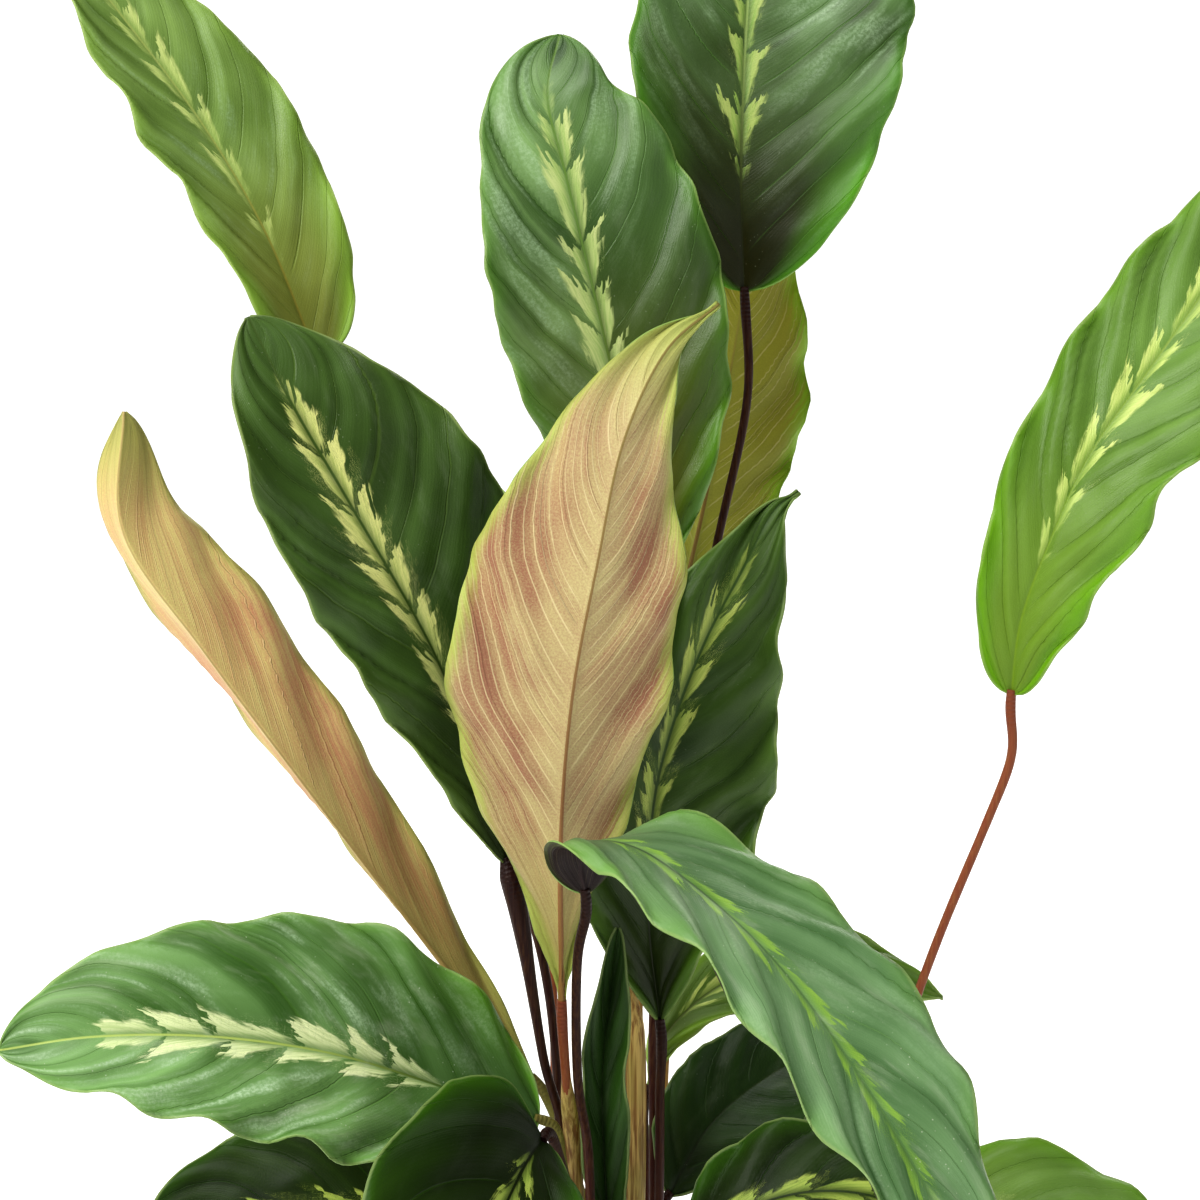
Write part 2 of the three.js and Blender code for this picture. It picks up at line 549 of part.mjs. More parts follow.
function potGeometry() {
  const bandFoot = POT_HEIGHT - RIM_BAND_HEIGHT;
  const outside = (z) => insideRadius(z) + POT_WALL;
  const profile = [
    [0, 0],
    [POT_FOOT_RADIUS - POT_EDGE, 0],
    [POT_FOOT_RADIUS, POT_EDGE],
    [outside(bandFoot), bandFoot],
    [outside(bandFoot) + RIM_BAND_STEP - POT_EDGE, bandFoot],
    [outside(bandFoot) + RIM_BAND_STEP, bandFoot + POT_EDGE],
    [POT_RIM_RADIUS, POT_HEIGHT - POT_EDGE],
    [POT_RIM_RADIUS - POT_EDGE, POT_HEIGHT],
    [insideRadius(POT_HEIGHT) + POT_EDGE, POT_HEIGHT],
    [insideRadius(POT_HEIGHT - POT_EDGE), POT_HEIGHT - POT_EDGE],
    [insideRadius(POT_BASE), POT_BASE],
    [0, POT_BASE],
  ];
  let pot = solidOf(turned(profile, POT_SEGMENTS));
  for (let k = 0; k < DRAIN_HOLES; k++) {
    const angle = (FULL_TURN * (k + 0.5)) / DRAIN_HOLES;
    const drain = new THREE.CylinderGeometry(DRAIN_RADIUS, DRAIN_RADIUS, DRAIN_CUT_LENGTH, DRAIN_SEGMENTS);
    drain.rotateX(HALF_TURN / 2);
    drain.translate(DRAIN_CIRCLE * Math.cos(angle), DRAIN_CIRCLE * Math.sin(angle), 0);
    pot = pot.subtract(solidOf(drain));
  }
  return geometryOf(pot);
}

// The soil fills the pot up to a slight mound, with a plain hole for each stalk.
function soilGeometry(leaves) {
  const wall = SOIL_LEVEL - SOIL_EDGE_DROP;
  const profile = [[0, POT_BASE + GAP]];
  profile.push([insideRadius(POT_BASE) - GAP, POT_BASE + GAP]);
  profile.push([insideRadius(wall) - GAP, wall]);
  for (let k = 1; k <= SOIL_RINGS; k++) {
    const share = 1 - k / SOIL_RINGS;
    const radius = (insideRadius(wall) - GAP) * share;
    profile.push([radius, wall + (SOIL_MOUND + SOIL_EDGE_DROP) * Math.cos((share * HALF_TURN) / 2)]);
  }
  let soil = solidOf(turned(profile, POT_SEGMENTS));
  for (const leaf of leaves) {
    const hole = holeCurve(leaf);
    soil = soil.subtract(solidOf(tubeGeometry(hole, [0, hole.getLength()], () => HOLE_RADIUS)));
  }
  return geometryOf(soil);
}

// The straight line of a stalk's hole, from just below its foot to above the soil.
function holeCurve(leaf) {
  const [ground, next] = leaf.stalk.map(vector);
  const direction = next.sub(ground).normalize();
  const bottom = ground.clone().addScaledVector(direction, -FOOT_DEPTH - GAP);
  const top = ground.clone().addScaledVector(direction, HOLE_TOP_ABOVE_SOIL);
  return new THREE.LineCurve3(bottom, top);
}

function mesh(name, geometry, color, roughness) {
  const made = new THREE.Mesh(geometry, new THREE.MeshStandardMaterial({ color, roughness, metalness: 0 }));
  made.name = name;
  return made;
}

const plant = new THREE.Group();
for (const leaf of LEAVES) {
  leaf.curve = curveThrough(leaf.rib);
  const stalk = stalkCurve(leaf);
  const walks = stalkWalks(stalk.getLength());
  const [blade, stem] = leaf.looks;
  plant.add(mesh("leaf_" + leaf.name, bladeGeometry(leaf), LEAF_COLOURS[blade], LEAF_ROUGHNESS));
  plant.add(mesh("stalk_" + leaf.name, tubeGeometry(stalk, walks, stalkRadius), STALK_COLOURS[stem], STALK_ROUGHNESS));
}
plant.add(mesh("soil", soilGeometry(LEAVES), SOIL_COLOUR, SOIL_ROUGHNESS));
plant.add(mesh("pot", potGeometry(), CLAY_COLOUR, CLAY_ROUGHNESS));

export default plant;
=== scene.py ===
# %% [markdown]
# # A potted prayer plant
#
# The model that this lesson dresses has one solid for each leaf blade, one for each leaf stalk, the soil and
# the pot. They are right in size and place, but they are coarse and plain. Here each gets the shape and
# finish of the real thing: pleated blades with a feathered pattern, swollen knees on the stalks, crumbly soil
# and worn clay.
#
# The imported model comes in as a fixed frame, in metres, with +Z up. The plant's front looks along -Y.

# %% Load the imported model
import math
from functools import partial
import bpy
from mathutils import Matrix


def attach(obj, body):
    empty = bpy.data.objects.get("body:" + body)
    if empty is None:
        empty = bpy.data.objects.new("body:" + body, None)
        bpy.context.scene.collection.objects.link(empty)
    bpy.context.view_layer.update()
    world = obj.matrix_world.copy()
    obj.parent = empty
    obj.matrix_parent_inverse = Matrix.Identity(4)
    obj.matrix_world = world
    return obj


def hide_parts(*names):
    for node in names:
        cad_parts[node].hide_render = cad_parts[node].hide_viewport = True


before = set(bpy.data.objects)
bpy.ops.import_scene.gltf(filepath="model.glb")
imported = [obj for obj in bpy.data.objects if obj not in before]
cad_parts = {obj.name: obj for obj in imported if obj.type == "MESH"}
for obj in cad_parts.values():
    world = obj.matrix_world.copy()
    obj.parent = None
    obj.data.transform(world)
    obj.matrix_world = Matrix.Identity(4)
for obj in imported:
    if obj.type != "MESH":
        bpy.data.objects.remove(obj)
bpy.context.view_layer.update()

from types import SimpleNamespace

import bpy
from mathutils import Matrix, Vector
from mathutils import noise as hills

MM = 0.001
print("solids in the frame:", len(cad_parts))

# %% [markdown]
# ## The camera
#
# The photograph was taken from a little above the leaves with a long lens, and only the leaves are in its
# frame. Looking down by ten degrees from 70 cm away gives the same overlaps between the leaves.

# %% Place the camera
def new_object(name, data):
    """An object at the origin, in the scene."""
    made = bpy.data.objects.new(name, data)
    bpy.context.scene.collection.objects.link(made)
    return made


camera = new_object("camera", bpy.data.cameras.new("camera"))
camera.data.sensor_width = 36
camera.data.lens = 84
camera.location = (-2.5 * MM, -689.4 * MM, 471.6 * MM)
camera.rotation_euler = (math.radians(80), 0, 0)
bpy.context.scene.camera = camera
print("camera at", tuple(round(x, 3) for x in camera.location))

# %% [markdown]
# ## Arithmetic in node trees
#
# Both the blades and their colours follow rules. A rule with many terms is hard to read as a web of nodes, so
# this small class lets a rule be written as plain arithmetic: each sign adds one Math node to the tree and
# links it. The same class serves geometry trees and material trees, because both know the Math node.

# %% A value inside a node tree
class Field:
    """A number, vector or colour inside a node tree."""

    def __init__(self, tree, socket):
        self.tree = tree
        self.socket = socket


def socket_of(sockets, key):
    """A socket by number, or the first one in use that has the name."""
    if isinstance(key, int):
        return sockets[key]
    return next(s for s in sockets if s.name == key and s.enabled)


def add_node(tree, kind, inputs=None, **settings):
    """Adds a node, makes its settings, and links its inputs to fields or sets them to plain values."""
    made = tree.nodes.new(kind)
    for name, value in settings.items():
        setattr(made, name, value)
    for key, value in (inputs or {}).items():
        socket = socket_of(made.inputs, key)
        if isinstance(value, Field):
            tree.links.new(value.socket, socket)
        else:
            socket.default_value = value
    return made


def out_of(made, key=0):
    return Field(made.id_data, socket_of(made.outputs, key))


def calc(operation, *values, kind="ShaderNodeMath", key=0):
    """The result of a Math node, in the tree of the first value that is a field."""
    tree = next(v.tree for v in values if isinstance(v, Field))
    return out_of(add_node(tree, kind, dict(enumerate(values)), operation=operation), key)


SIGNS = {"add": "ADD", "sub": "SUBTRACT", "mul": "MULTIPLY", "truediv": "DIVIDE", "pow": "POWER"}
for sign, operation in SIGNS.items():
    setattr(Field, f"__{sign}__", lambda self, other, o=operation: calc(o, self, other))
    setattr(Field, f"__r{sign}__", lambda self, other, o=operation: calc(o, other, self))

size_of = partial(calc, "ABSOLUTE")
sine = partial(calc, "SINE")
cosine = partial(calc, "COSINE")
highest = partial(calc, "MAXIMUM")
lowest = partial(calc, "MINIMUM")
is_below = partial(calc, "LESS_THAN")
whole_part = partial(calc, "FLOOR")
vector_calc = partial(calc, kind="ShaderNodeVectorMath")
print("arithmetic ready")

# %% Rules that come back often
def then(field, kind, inputs=None, **settings):
    """What comes out of a node whose first input is the field."""
    return out_of(add_node(field.tree, kind, {0: field, **(inputs or {})}, **settings))


def bell(value, width):
    """1 at zero, falling off on both sides within the width."""
    share = value / width
    return calc("EXPONENT", share * share * -1)


def rise(value, start, end):
    """Goes smoothly from 0 at start to 1 at end."""
    return then(value, "ShaderNodeMapRange", {1: start, 2: end}, interpolation_type="SMOOTHSTEP")


def held(value, floor, roof):
    return then(value, "ShaderNodeClamp", {1: floor, 2: roof})


def parts(vector):
    """The three parts of a vector."""
    made = add_node(vector.tree, "ShaderNodeSeparateXYZ", {0: vector})
    return [out_of(made, k) for k in range(3)]


def joined(*values):
    """A vector of three numbers."""
    tree = next(v.tree for v in values if isinstance(v, Field))
    return out_of(add_node(tree, "ShaderNodeCombineXYZ", dict(enumerate(values))))


def times(vector, number):
    return then(vector, "ShaderNodeVectorMath", {"Scale": number}, operation="SCALE")


def noise(place, detail=2.0, rough=0.5):
    """Soft noise from 0 to 1 along one number, or over a vector."""
    flat = place.socket.type == "VALUE"
    inputs = {"W" if flat else "Vector": place, "Scale": 1.0, "Detail": detail, "Roughness": rough}
    return out_of(add_node(place.tree, "ShaderNodeTexNoise", inputs, noise_dimensions="1D" if flat else "3D"))


def draw(place):
    """A random number from 0 to 1 for each different value of place."""
    return out_of(add_node(place.tree, "ShaderNodeTexWhiteNoise", {"W": place}, noise_dimensions="1D"))


print("rules ready")

# %% [markdown]
# ## Every leaf
#
# A leaf of this plant is a blade on a stalk. This table says for each leaf where its stalk and its midrib
# run, which way its upper side faces at even steps from base to tip, how wide its left and right halves are,
# how steeply they rise from the midrib (fold), and how its margins wave. Lengths are in millimetres. The
# words after the name are the looks of its upper side, underside and stalk, and its slot. A leaf leaves out
# what it has in common with most.

# %% The table of leaves
PLAIN_LEAF = {
    "widest": 0.45, "taper": (0.7, 0.8), "fold": (12, 8), "curl": 0, "waves": 4, "swell": 2, "phase": 0,
    "slant": 0.13, "pleats": 1.0,
}


def leaf_entry(name, looks, stalk, rib, face, half, **own):
    upper, under, stem, slot = looks.split()
    return {
        **PLAIN_LEAF, "name": name, "upper": upper, "under": under, "stem": stem, "slot": slot,
        "stalk": stalk, "rib": rib, "face": face, "half": half, **own,
    }


LEAVES = [
    leaf_entry("high_left", "olive tan maroon leaf_middle",
        stalk=[(-13, 8, 105), (-13, 6, 209), (-19, 10, 261), (-36, 16, 297), (-54, 22, 346)],
        rib=[(-75, 28, 408), (-88, 34, 439), (-104, 40, 466), (-126, 46, 495), (-148, 54, 521)],
        face=[(0.45, -0.8, 0.35)] * 2, half=(18, 23), widest=0.48, taper=(0.33, 0.9), fold=(12, 6), curl=6,
        waves=5, swell=1.4, phase=0.4, pleats=0.7),
    leaf_entry("high_centre", "grey tan gold leaf_grey",
        stalk=[(5, 18, 105), (6, 12, 215), (3, 16, 260), (4, 20, 294), (8, 26, 322)],
        rib=[(12, 30, 349), (5, 30, 384), (-3, 32, 420), (-11, 36, 453), (-16, 44, 474), (-13, 58, 490)],
        face=[(0, -1, 0.1), (0, -1, 0.2), (0, -0.75, 0.7)], half=(26, 33), widest=0.5, taper=(0.75, 0.6),
        fold=(14, 6), curl=-6, waves=5, swell=2.4, phase=1.2, pleats=0.85),
    leaf_entry("centre_underside", "middle rose red leaf_tan",
        stalk=[(-6, -9, 105), (-9, -8, 200), (-11, -14, 229)],
        rib=[(-12, -19, 251), (-12, -28, 297), (-9, -32, 333), (-3, -32, 365), (3, -29, 393), (13, -23, 414),
            (26, -16, 425)],
        face=[(0.1, 1, 0), (0, 1, 0), (0, 1, 0)], half=(24, 33), widest=0.48, taper=(1.35, 1.3),
        fold=(35, 16, 20), waves=5, swell=2.6, phase=2.0, slant=0.14, pleats=0.6),
    leaf_entry("left_centre", "dark purple maroon leaf_dark",
        stalk=[(-14, -2, 105), (-11, -2, 198), (-17, -5, 232), (-22, -8, 266)],
        rib=[(-26, -6, 284), (-32, -2, 306), (-45, -2, 339), (-64, -3, 374), (-78, 0, 398), (-90, 8, 420)],
        face=[(0.6, -0.75, 0.15), (0.42, -0.85, 0.2), (0.35, -0.9, 0.2), (0.3, -0.9, 0.2), (0.3, -0.9, 0.2)],
        half=(23, 35), widest=0.56, taper=(0.5, 0.65), fold=(24, 15, 10, 8, 6), waves=5, swell=2.4),
    leaf_entry("high_right", "deep tan maroon leaf_dark",
        stalk=[(12, 26, 105), (12, 30, 194), (12, 36, 234), (17, 44, 293), (28, 52, 352), (37, 57, 394)],
        rib=[(36, 60, 423), (35, 63, 452), (36, 70, 482), (38, 84, 510), (40, 106, 532), (42, 134, 539)],
        face=[(0, -1, 0.1), (0, -1, 0.4), (0, -0.5, 1)], half=(31, 43), widest=0.48, taper=(0.5, 0.8),
        fold=(14, 6), curl=-6, waves=5, swell=2.6, phase=2.6),
    leaf_entry("back_right", "middle lime gold leaf_olive",
        stalk=[(1, 30, 105), (8, 34, 198), (8, 44, 237), (11, 56, 290)],
        rib=[(20, 68, 338), (27, 76, 367), (33, 82, 397), (38, 86, 427), (42, 88, 454)],
        face=[(0, 1, 0)] * 2, half=(23, 24), taper=(0.7, 0.9), fold=(14, 8), waves=5, swell=2.2, phase=0.5,
        slant=0.16, pleats=0.8),
    leaf_entry("right_centre", "dusk olive maroon leaf_dark",
        stalk=[(12, 5, 105), (13, 4, 196), (13, 3, 219)],
        rib=[(13, 2, 239), (10, 2, 267), (11, 2, 296), (16, 2, 318), (24, 3, 339), (33, 6, 356),
            (41, 12, 370), (48, 17, 375)],
        face=[(0, -1, 0), (0.1, -1, 0.1), (0, -0.8, 0.6)], half=(23, 29), widest=0.42, taper=(0.9, 1.15),
        fold=(30, 10, 10), waves=5, swell=3.4, phase=3.4),
    leaf_entry("front_arching", "cool purple maroon leaf_grey",
        stalk=[(-6, -18, 105), (-5, -20, 202), (-8, -30, 235), (-8, -40, 269)],
        rib=[(-6, -48, 288), (-7, -50, 297), (-2, -56, 303), (12, -65, 300), (36, -83, 283), (58, -101, 256),
            (73, -114, 231), (86, -120, 206)],
        face=[(-0.1, 1, 0.3), (-0.3, 0, 1), (0.15, -0.15, 1), (0.35, -0.4, 0.75), (0.3, -0.6, 0.7),
        (0.4, -0.6, 0.6), (0.6, -0.5, 0.6)], half=(27, 22), taper=(0.55, 0.9), fold=(0, 8, 8), waves=6,
        swell=2.4, phase=0.6, pleats=0.4),
    leaf_entry("far_right", "fresh rose red leaf_middle",
        stalk=[(30, 7, 105), (35, 7, 122), (49, 8, 155), (68, 8, 208), (84, 10, 256), (97, 12, 289),
            (104, 13.5, 308)],
        rib=[(103, 14, 323), (105, 14, 342), (112, 14, 363), (122, 16, 385), (137, 20, 406), (154, 27, 429),
            (170, 36, 451), (180, 46, 472)],
        face=[(-0.45, -0.85, 0.3)] * 2, half=(21, 27), widest=0.6, taper=(0.45, 0.8), fold=(14, 6), waves=6,
        swell=2.4, phase=1),
    leaf_entry("left_rolled", "middle blush green leaf_tan",
        stalk=[(-10, 22, 105), (-6, 18, 172), (-10, 17, 195)],
        rib=[(-20, 18, 218), (-46, 22, 251), (-77, 26, 292), (-106, 30, 331), (-127, 34, 362),
            (-127, 40, 393)],
        face=[(0.2, 1, 0.2)] * 2, half=(24, 25), widest=0.68, taper=(0.8, 0.6), fold=(66, 60, 48), waves=5,
        swell=1.6, slant=0.22, pleats=0.3),
    leaf_entry("left_low", "cream olive green leaf_grey",
        stalk=[(-15, -12, 105), (-9, -14, 183), (-12, -15, 207)],
        rib=[(-18, -17, 220), (-42, -26, 232), (-68, -36, 244), (-96, -44, 251), (-123, -50, 253),
            (-145, -54, 251)],
        face=[(0, -0.7, 0.7)] * 2, half=(31, 33), widest=0.4, taper=(0.6, 0.6), fold=(16, 12), curl=4,
        waves=6, swell=2.4, phase=2, pleats=0.65),
    leaf_entry("low_left", "night purple green leaf_dark",
        stalk=[(-22, 14, 105), (-20, 16, 140)],
        rib=[(-24, 17, 166), (-46, 14, 180), (-73, 8, 186), (-102, 4, 183), (-128, 0, 170)],
        face=[(0, -0.6, 0.8)] * 2, half=(26, 28), fold=(14, 10), waves=5, phase=1),
    leaf_entry("front_low", "night purple maroon leaf_dark",
        stalk=[(-8, -27, 105), (-7, -30, 186), (-11, -44, 215)],
        rib=[(-16, -54, 229), (-20, -68, 228), (-27, -86, 218), (-35, -102, 198), (-42, -115, 172),
            (-47, -124, 146)],
        face=[(0.55, -0.6, 0.55), (0.5, -0.6, 0.55), (0.1, -0.7, 0.5)], half=(22, 36), widest=0.38,
        taper=(0.42, 0.8), fold=(14, 10), swell=2.2, phase=1),
    leaf_entry("low_right", "night purple maroon leaf_dark",
        stalk=[(14, -8, 105), (12, -8, 160)],
        rib=[(18, -12, 184), (34, -17, 196), (51, -20, 202), (68, -22, 201), (84, -22, 192)],
        face=[(0, -0.6, 0.8)] * 2, half=(20, 22)),
    leaf_entry("low_far_right", "fresh tan red leaf_light",
        stalk=[(26, 20, 105), (31, 21, 122), (48, 23, 154)],
        rib=[(72, 22, 174), (96, 20, 182), (120, 16, 178), (142, 10, 164), (160, 2, 144)],
        face=[(0, -0.5, 0.85), (0.2, -0.5, 0.8)], half=(22, 22), taper=(0.7, 0.9), phase=2),
    leaf_entry("right_inner", "plain purple maroon leaf_dark",
        stalk=[(14, 16, 105), (14, 18, 160)],
        rib=[(16, 22, 184), (26, 26, 201), (39, 30, 212), (53, 36, 218), (66, 44, 218)],
        face=[(-0.2, -0.8, 0.5), (-0.1, -0.8, 0.6)], half=(17, 17), swell=1.6),
    leaf_entry("back_right_low", "middle olive maroon leaf_middle",
        stalk=[(8, 38, 105), (10, 38, 173)],
        rib=[(11, 46, 205), (16, 50, 220), (32, 57, 232), (54, 66, 235), (76, 75, 230), (96, 84, 219)],
        face=[(0, -0.7, 0.7)] * 2, half=(12, 13), widest=0.5, taper=(1.1, 0.8)),
    leaf_entry("inner_upright", "plain olive gold leaf_dark",
        stalk=[(3, -13, 105), (2, -10, 145)],
        rib=[(1, -9, 172), (-1, -9, 199), (-2, -8, 226), (0, -7, 250), (2, -6, 267)],
        face=[(0.1, -1, 0)] * 2, half=(8.5, 8.5), widest=0.5, taper=(0.7, 0.5), fold=(45, 45), waves=3,
        swell=0.8),
    leaf_entry("front_small", "cool olive green leaf_grey",
        stalk=[(6, -24, 105), (8, -28, 150)],
        rib=[(9, -34, 176), (9, -42, 192), (8, -53, 200), (7, -68, 200)],
        face=[(0, -0.8, 0.6), (0, -0.4, 0.9)], half=(13, 13), taper=(0.6, 0.8), waves=3, swell=1.4),
    leaf_entry("back_tall", "middle rose red leaf_middle",
        stalk=[(-16, 34, 105), (-15, 38, 170), (-15, 45, 220)],
        rib=[(-17, 55, 258), (-21, 63, 294), (-29, 71, 330), (-38, 79, 360), (-44, 87, 380)],
        face=[(0.1, -1, 0.1), (0.1, -1, 0.2)], half=(23, 23), widest=0.48, taper=(0.8, 0.9), fold=(20, 8),
        waves=5, swell=2.2, phase=1.5),
    leaf_entry("back_middle", "dark purple gold leaf_dark",
        stalk=[(12, 46, 105), (15, 60, 190), (17, 70, 224)],
        rib=[(20, 80, 252), (25, 90, 285), (30, 99, 318), (34, 109, 346)],
        face=[(0, -1, 0.2), (0, -1, 0.4)], half=(17, 17), taper=(0.7, 0.9), fold=(16, 8), swell=1.8,
        phase=0.5),
    leaf_entry("back_left", "deep purple green leaf_dark",
        stalk=[(-20, 30, 105), (-24, 36, 122), (-33, 49, 144)],
        rib=[(-44, 66, 158), (-55, 86, 170), (-70, 108, 170), (-86, 128, 154)],
        face=[(0.1, -0.1, 1), (-0.3, 0.3, 0.8)], half=(22, 22), phase=1),
    leaf_entry("back_centre", "olive tan maroon leaf_middle",
        stalk=[(-4, 42, 105), (-3, 47, 122), (0, 60, 148)],
        rib=[(4, 74, 162), (8, 94, 172), (12, 116, 168), (14, 136, 150)],
        face=[(0, -0.1, 1), (0, 0.4, 0.8)], half=(22, 22), phase=2),
    leaf_entry("back_right_outer", "dark rose red leaf_dark",
        stalk=[(22, 36, 105), (26, 42, 122), (36, 56, 146)],
        rib=[(48, 72, 160), (66, 90, 173), (86, 106, 172), (104, 120, 156)],
        face=[(0, -0.1, 1), (0.3, 0.3, 0.8)], half=(22, 22)),
    leaf_entry("side_left", "middle olive maroon leaf_middle",
        stalk=[(-28, 0, 105), (-33, 1, 120), (-46, 2, 138)],
        rib=[(-62, 4, 148), (-84, 6, 154), (-108, 6, 148), (-128, 4, 128)],
        face=[(0, 0, 1), (-0.3, 0, 0.8)], half=(20, 20), swell=1.8, phase=2),
    leaf_entry("front_left", "deep purple green leaf_dark",
        stalk=[(-20, -24, 105), (-24, -29, 120), (-34, -42, 140)],
        rib=[(-46, -56, 150), (-62, -74, 155), (-80, -92, 146), (-94, -106, 126)],
        face=[(0, 0, 1), (-0.3, -0.3, 0.8)], half=(20, 20), swell=1.8),
    leaf_entry("front_right", "fresh rose maroon leaf_light",
        stalk=[(22, -22, 105), (26, -27, 120), (35, -38, 140)],
        rib=[(46, -50, 150), (62, -64, 156), (80, -80, 148), (94, -92, 128)],
        face=[(0, 0, 1), (0.3, -0.3, 0.8)], half=(20, 20), swell=1.8, phase=1),
]
print("leaves:", len(LEAVES))

# %% [markdown]
# ## Smooth curves through a few points
#
# A midrib or stalk is given by a handful of points. A Catmull-Rom curve passes through them all with no
# corners, and walking it at even lengths gives the short straight edges that a node tree can turn into a
# curve object.

# %% Walk a curve at even lengths
STEPS_PER_SPAN = 60


def curve_point(points, place):
    """The curve's point at place, which counts in points from the first one."""
    k = min(int(place), len(points) - 2)
    share = place - k
    here = points[k]
    there = points[k + 1]
    before = points[k - 1] if k > 0 else here * 2 - there
    after = points[k + 2] if k + 2 < len(points) else there * 2 - here
    square = share * share
    cube = square * share
    return (
        here * (2 * cube - 3 * square + 1)
        + (there - before) * 0.5 * (cube - 2 * square + share)
        + there * (3 * square - 2 * cube)
        + (after - here) * 0.5 * (cube - square)
    )


def lengths_along(points):
    """How far along the line through the points each one lies."""
    walked = [0.0]
    for a, b in zip(points, points[1:]):
        walked.append(walked[-1] + (b - a).length)
    return walked


def walk_curve(points, count):
    """Points at even lengths along the curve, and the curve's length."""
    points = [Vector(p) for p in points]
    fine = STEPS_PER_SPAN * (len(points) - 1)
    dense = [curve_point(points, k / STEPS_PER_SPAN) for k in range(fine + 1)]
    walked = lengths_along(dense)
    result = []
    k = 0
    for i in range(count):
        goal = walked[-1] * i / (count - 1)
        while k < fine - 1 and walked[k + 1] < goal:
            k += 1
        share = (goal - walked[k]) / max(walked[k + 1] - walked[k], 1e-9)
        result.append(dense[k].lerp(dense[k + 1], min(share, 1.0)))
    return result, walked[-1]


def at_share(entries, share):
    """The value of a list at a share from 0 to 1, where its entries lie at even steps."""
    place = share * (len(entries) - 1)
    k = min(int(place), len(entries) - 2)
    here, there = (Vector(e) if isinstance(e, tuple) else e for e in entries[k:k + 2])
    return here + (there - here) * (place - k)


print("midrib of the first leaf:", round(walk_curve(LEAVES[0]["rib"], 20)[1]), "mm")

# %% [markdown]
# ## Growing a piece from a line
#
# Each blade and stalk starts as a chain of edges that carries named values, such as the fold at each point. A
# Geometry Nodes tree turns the chain into the finished shape. The result is then made a plain mesh, because
# only plain meshes can be handed on, and the helper object is deleted.

# %% Run a tree on a chain of edges
def new_tree(name, numbers, whole_numbers="", materials=""):
    """An empty geometry tree with named inputs, and a field for each."""
    tree = bpy.data.node_groups.new(name, "GeometryNodeTree")
    tree.is_modifier = True
    tree.interface.new_socket("Geometry", in_out="OUTPUT", socket_type="NodeSocketGeometry")
    titles = (("Geometry", "Geometry"), (numbers, "Float"), (whole_numbers, "Int"), (materials, "Material"))
    for names, kind in titles:
        for title in filter(None, names.split(", ")):
            tree.interface.new_socket(title, in_out="INPUT", socket_type="NodeSocket" + kind)
    start = tree.nodes.new("NodeGroupInput")
    return tree, {s.name: Field(tree, s) for s in start.outputs if s.name}


def finish_tree(geometry):
    """Ends a tree: instances become real, and the result goes out."""
    real = then(geometry, "GeometryNodeRealizeInstances")
    add_node(geometry.tree, "NodeGroupOutput", {0: real})


def final_mesh(piece):
    """A plain mesh of what the object's modifiers make of it."""
    bpy.context.view_layer.update()
    depsgraph = bpy.context.evaluated_depsgraph_get()
    return bpy.data.meshes.new_from_object(piece.evaluated_get(depsgraph))


def grow(name, base, tree, values):
    """The plain mesh that a tree makes from a base mesh, as a new object at the origin."""
    helper = new_object("helper", base)
    modifier = helper.modifiers.new("grow", "NODES")
    modifier.node_group = tree
    for item in tree.interface.items_tree:
        if item.in_out == "INPUT" and item.name in values:
            modifier[item.identifier] = values[item.name]
    mesh = final_mesh(helper)
    mesh.name = name
    helper.modifiers.remove(modifier)
    bpy.data.objects.remove(helper)
    return new_object(name, mesh)


print("ready to grow pieces")

# %% Values on points
def chain(points, values):
    """A mesh of edges through the points, in metres, with a named value at each."""
    mesh = bpy.data.meshes.new("chain")
    mesh.from_pydata([p * MM for p in points], [(k, k + 1) for k in range(len(points) - 1)], [])
    for title, entries in values.items():
        vector = isinstance(entries[0], Vector)
        attribute = mesh.attributes.new(title, "FLOAT_VECTOR" if vector else "FLOAT", "POINT")
        flat = [x for entry in entries for x in entry] if vector else entries
        attribute.data.foreach_set("vector" if vector else "value", flat)
    return mesh


def named(tree, title, kind="FLOAT"):
    return out_of(add_node(tree, "GeometryNodeInputNamedAttribute", {"Name": title}, data_type=kind))


def store(geometry, title, value, kind="FLOAT_VECTOR"):
    kept = {"Name": title, "Value": value}
    return then(geometry, "GeometryNodeStoreNamedAttribute", kept, data_type=kind, domain="POINT")


print("ready to store values")

# %% [markdown]
# ## The blade
#
# A blade is thin, pleated and waved. Its midrib is a groove above and a ridge below, and soft pleats run from
# the midrib out to the margin, bending toward the tip. It could be sculpted, or cut from a subdivided plane,
# but the same few rules shape all the blades here: an outline of a sine and a cosine, a fold, a curl, waves
# that grow toward the margin, and pleats that follow the side veins. So one tree makes every blade, from a
# flat grid that it lays along the midrib. Extruding the bent grid and joining a flipped copy closes it to a
# thin shell.
#
# The tree also stores where each point lies on the leaf, in millimetres across and along and along the veins,
# so that the colours can follow the same veins as the pleats do.

# %% Sizes that all blades share, in millimetres
BLADE_THICKNESS = 0.5
RIB_DEPTH_BASE = 0.7
RIB_DEPTH_TIP = 0.1
RIB_SPREAD = 0.5
GROOVE_DEPTH = 0.3
GROOVE_SPREAD = 0.8
LEAST_HALF_WIDTH = 0.8
PLEAT_PITCH = 15.0
PLEAT_HEIGHT = 1.15
FULL_PLEAT_WIDTH = 45
ROW_SPACING = 1.5
FEWEST_ROWS = 24
COLUMNS = 41
MIDRIB_STEPS = 120
print("a blade is", BLADE_THICKNESS, "mm thick")

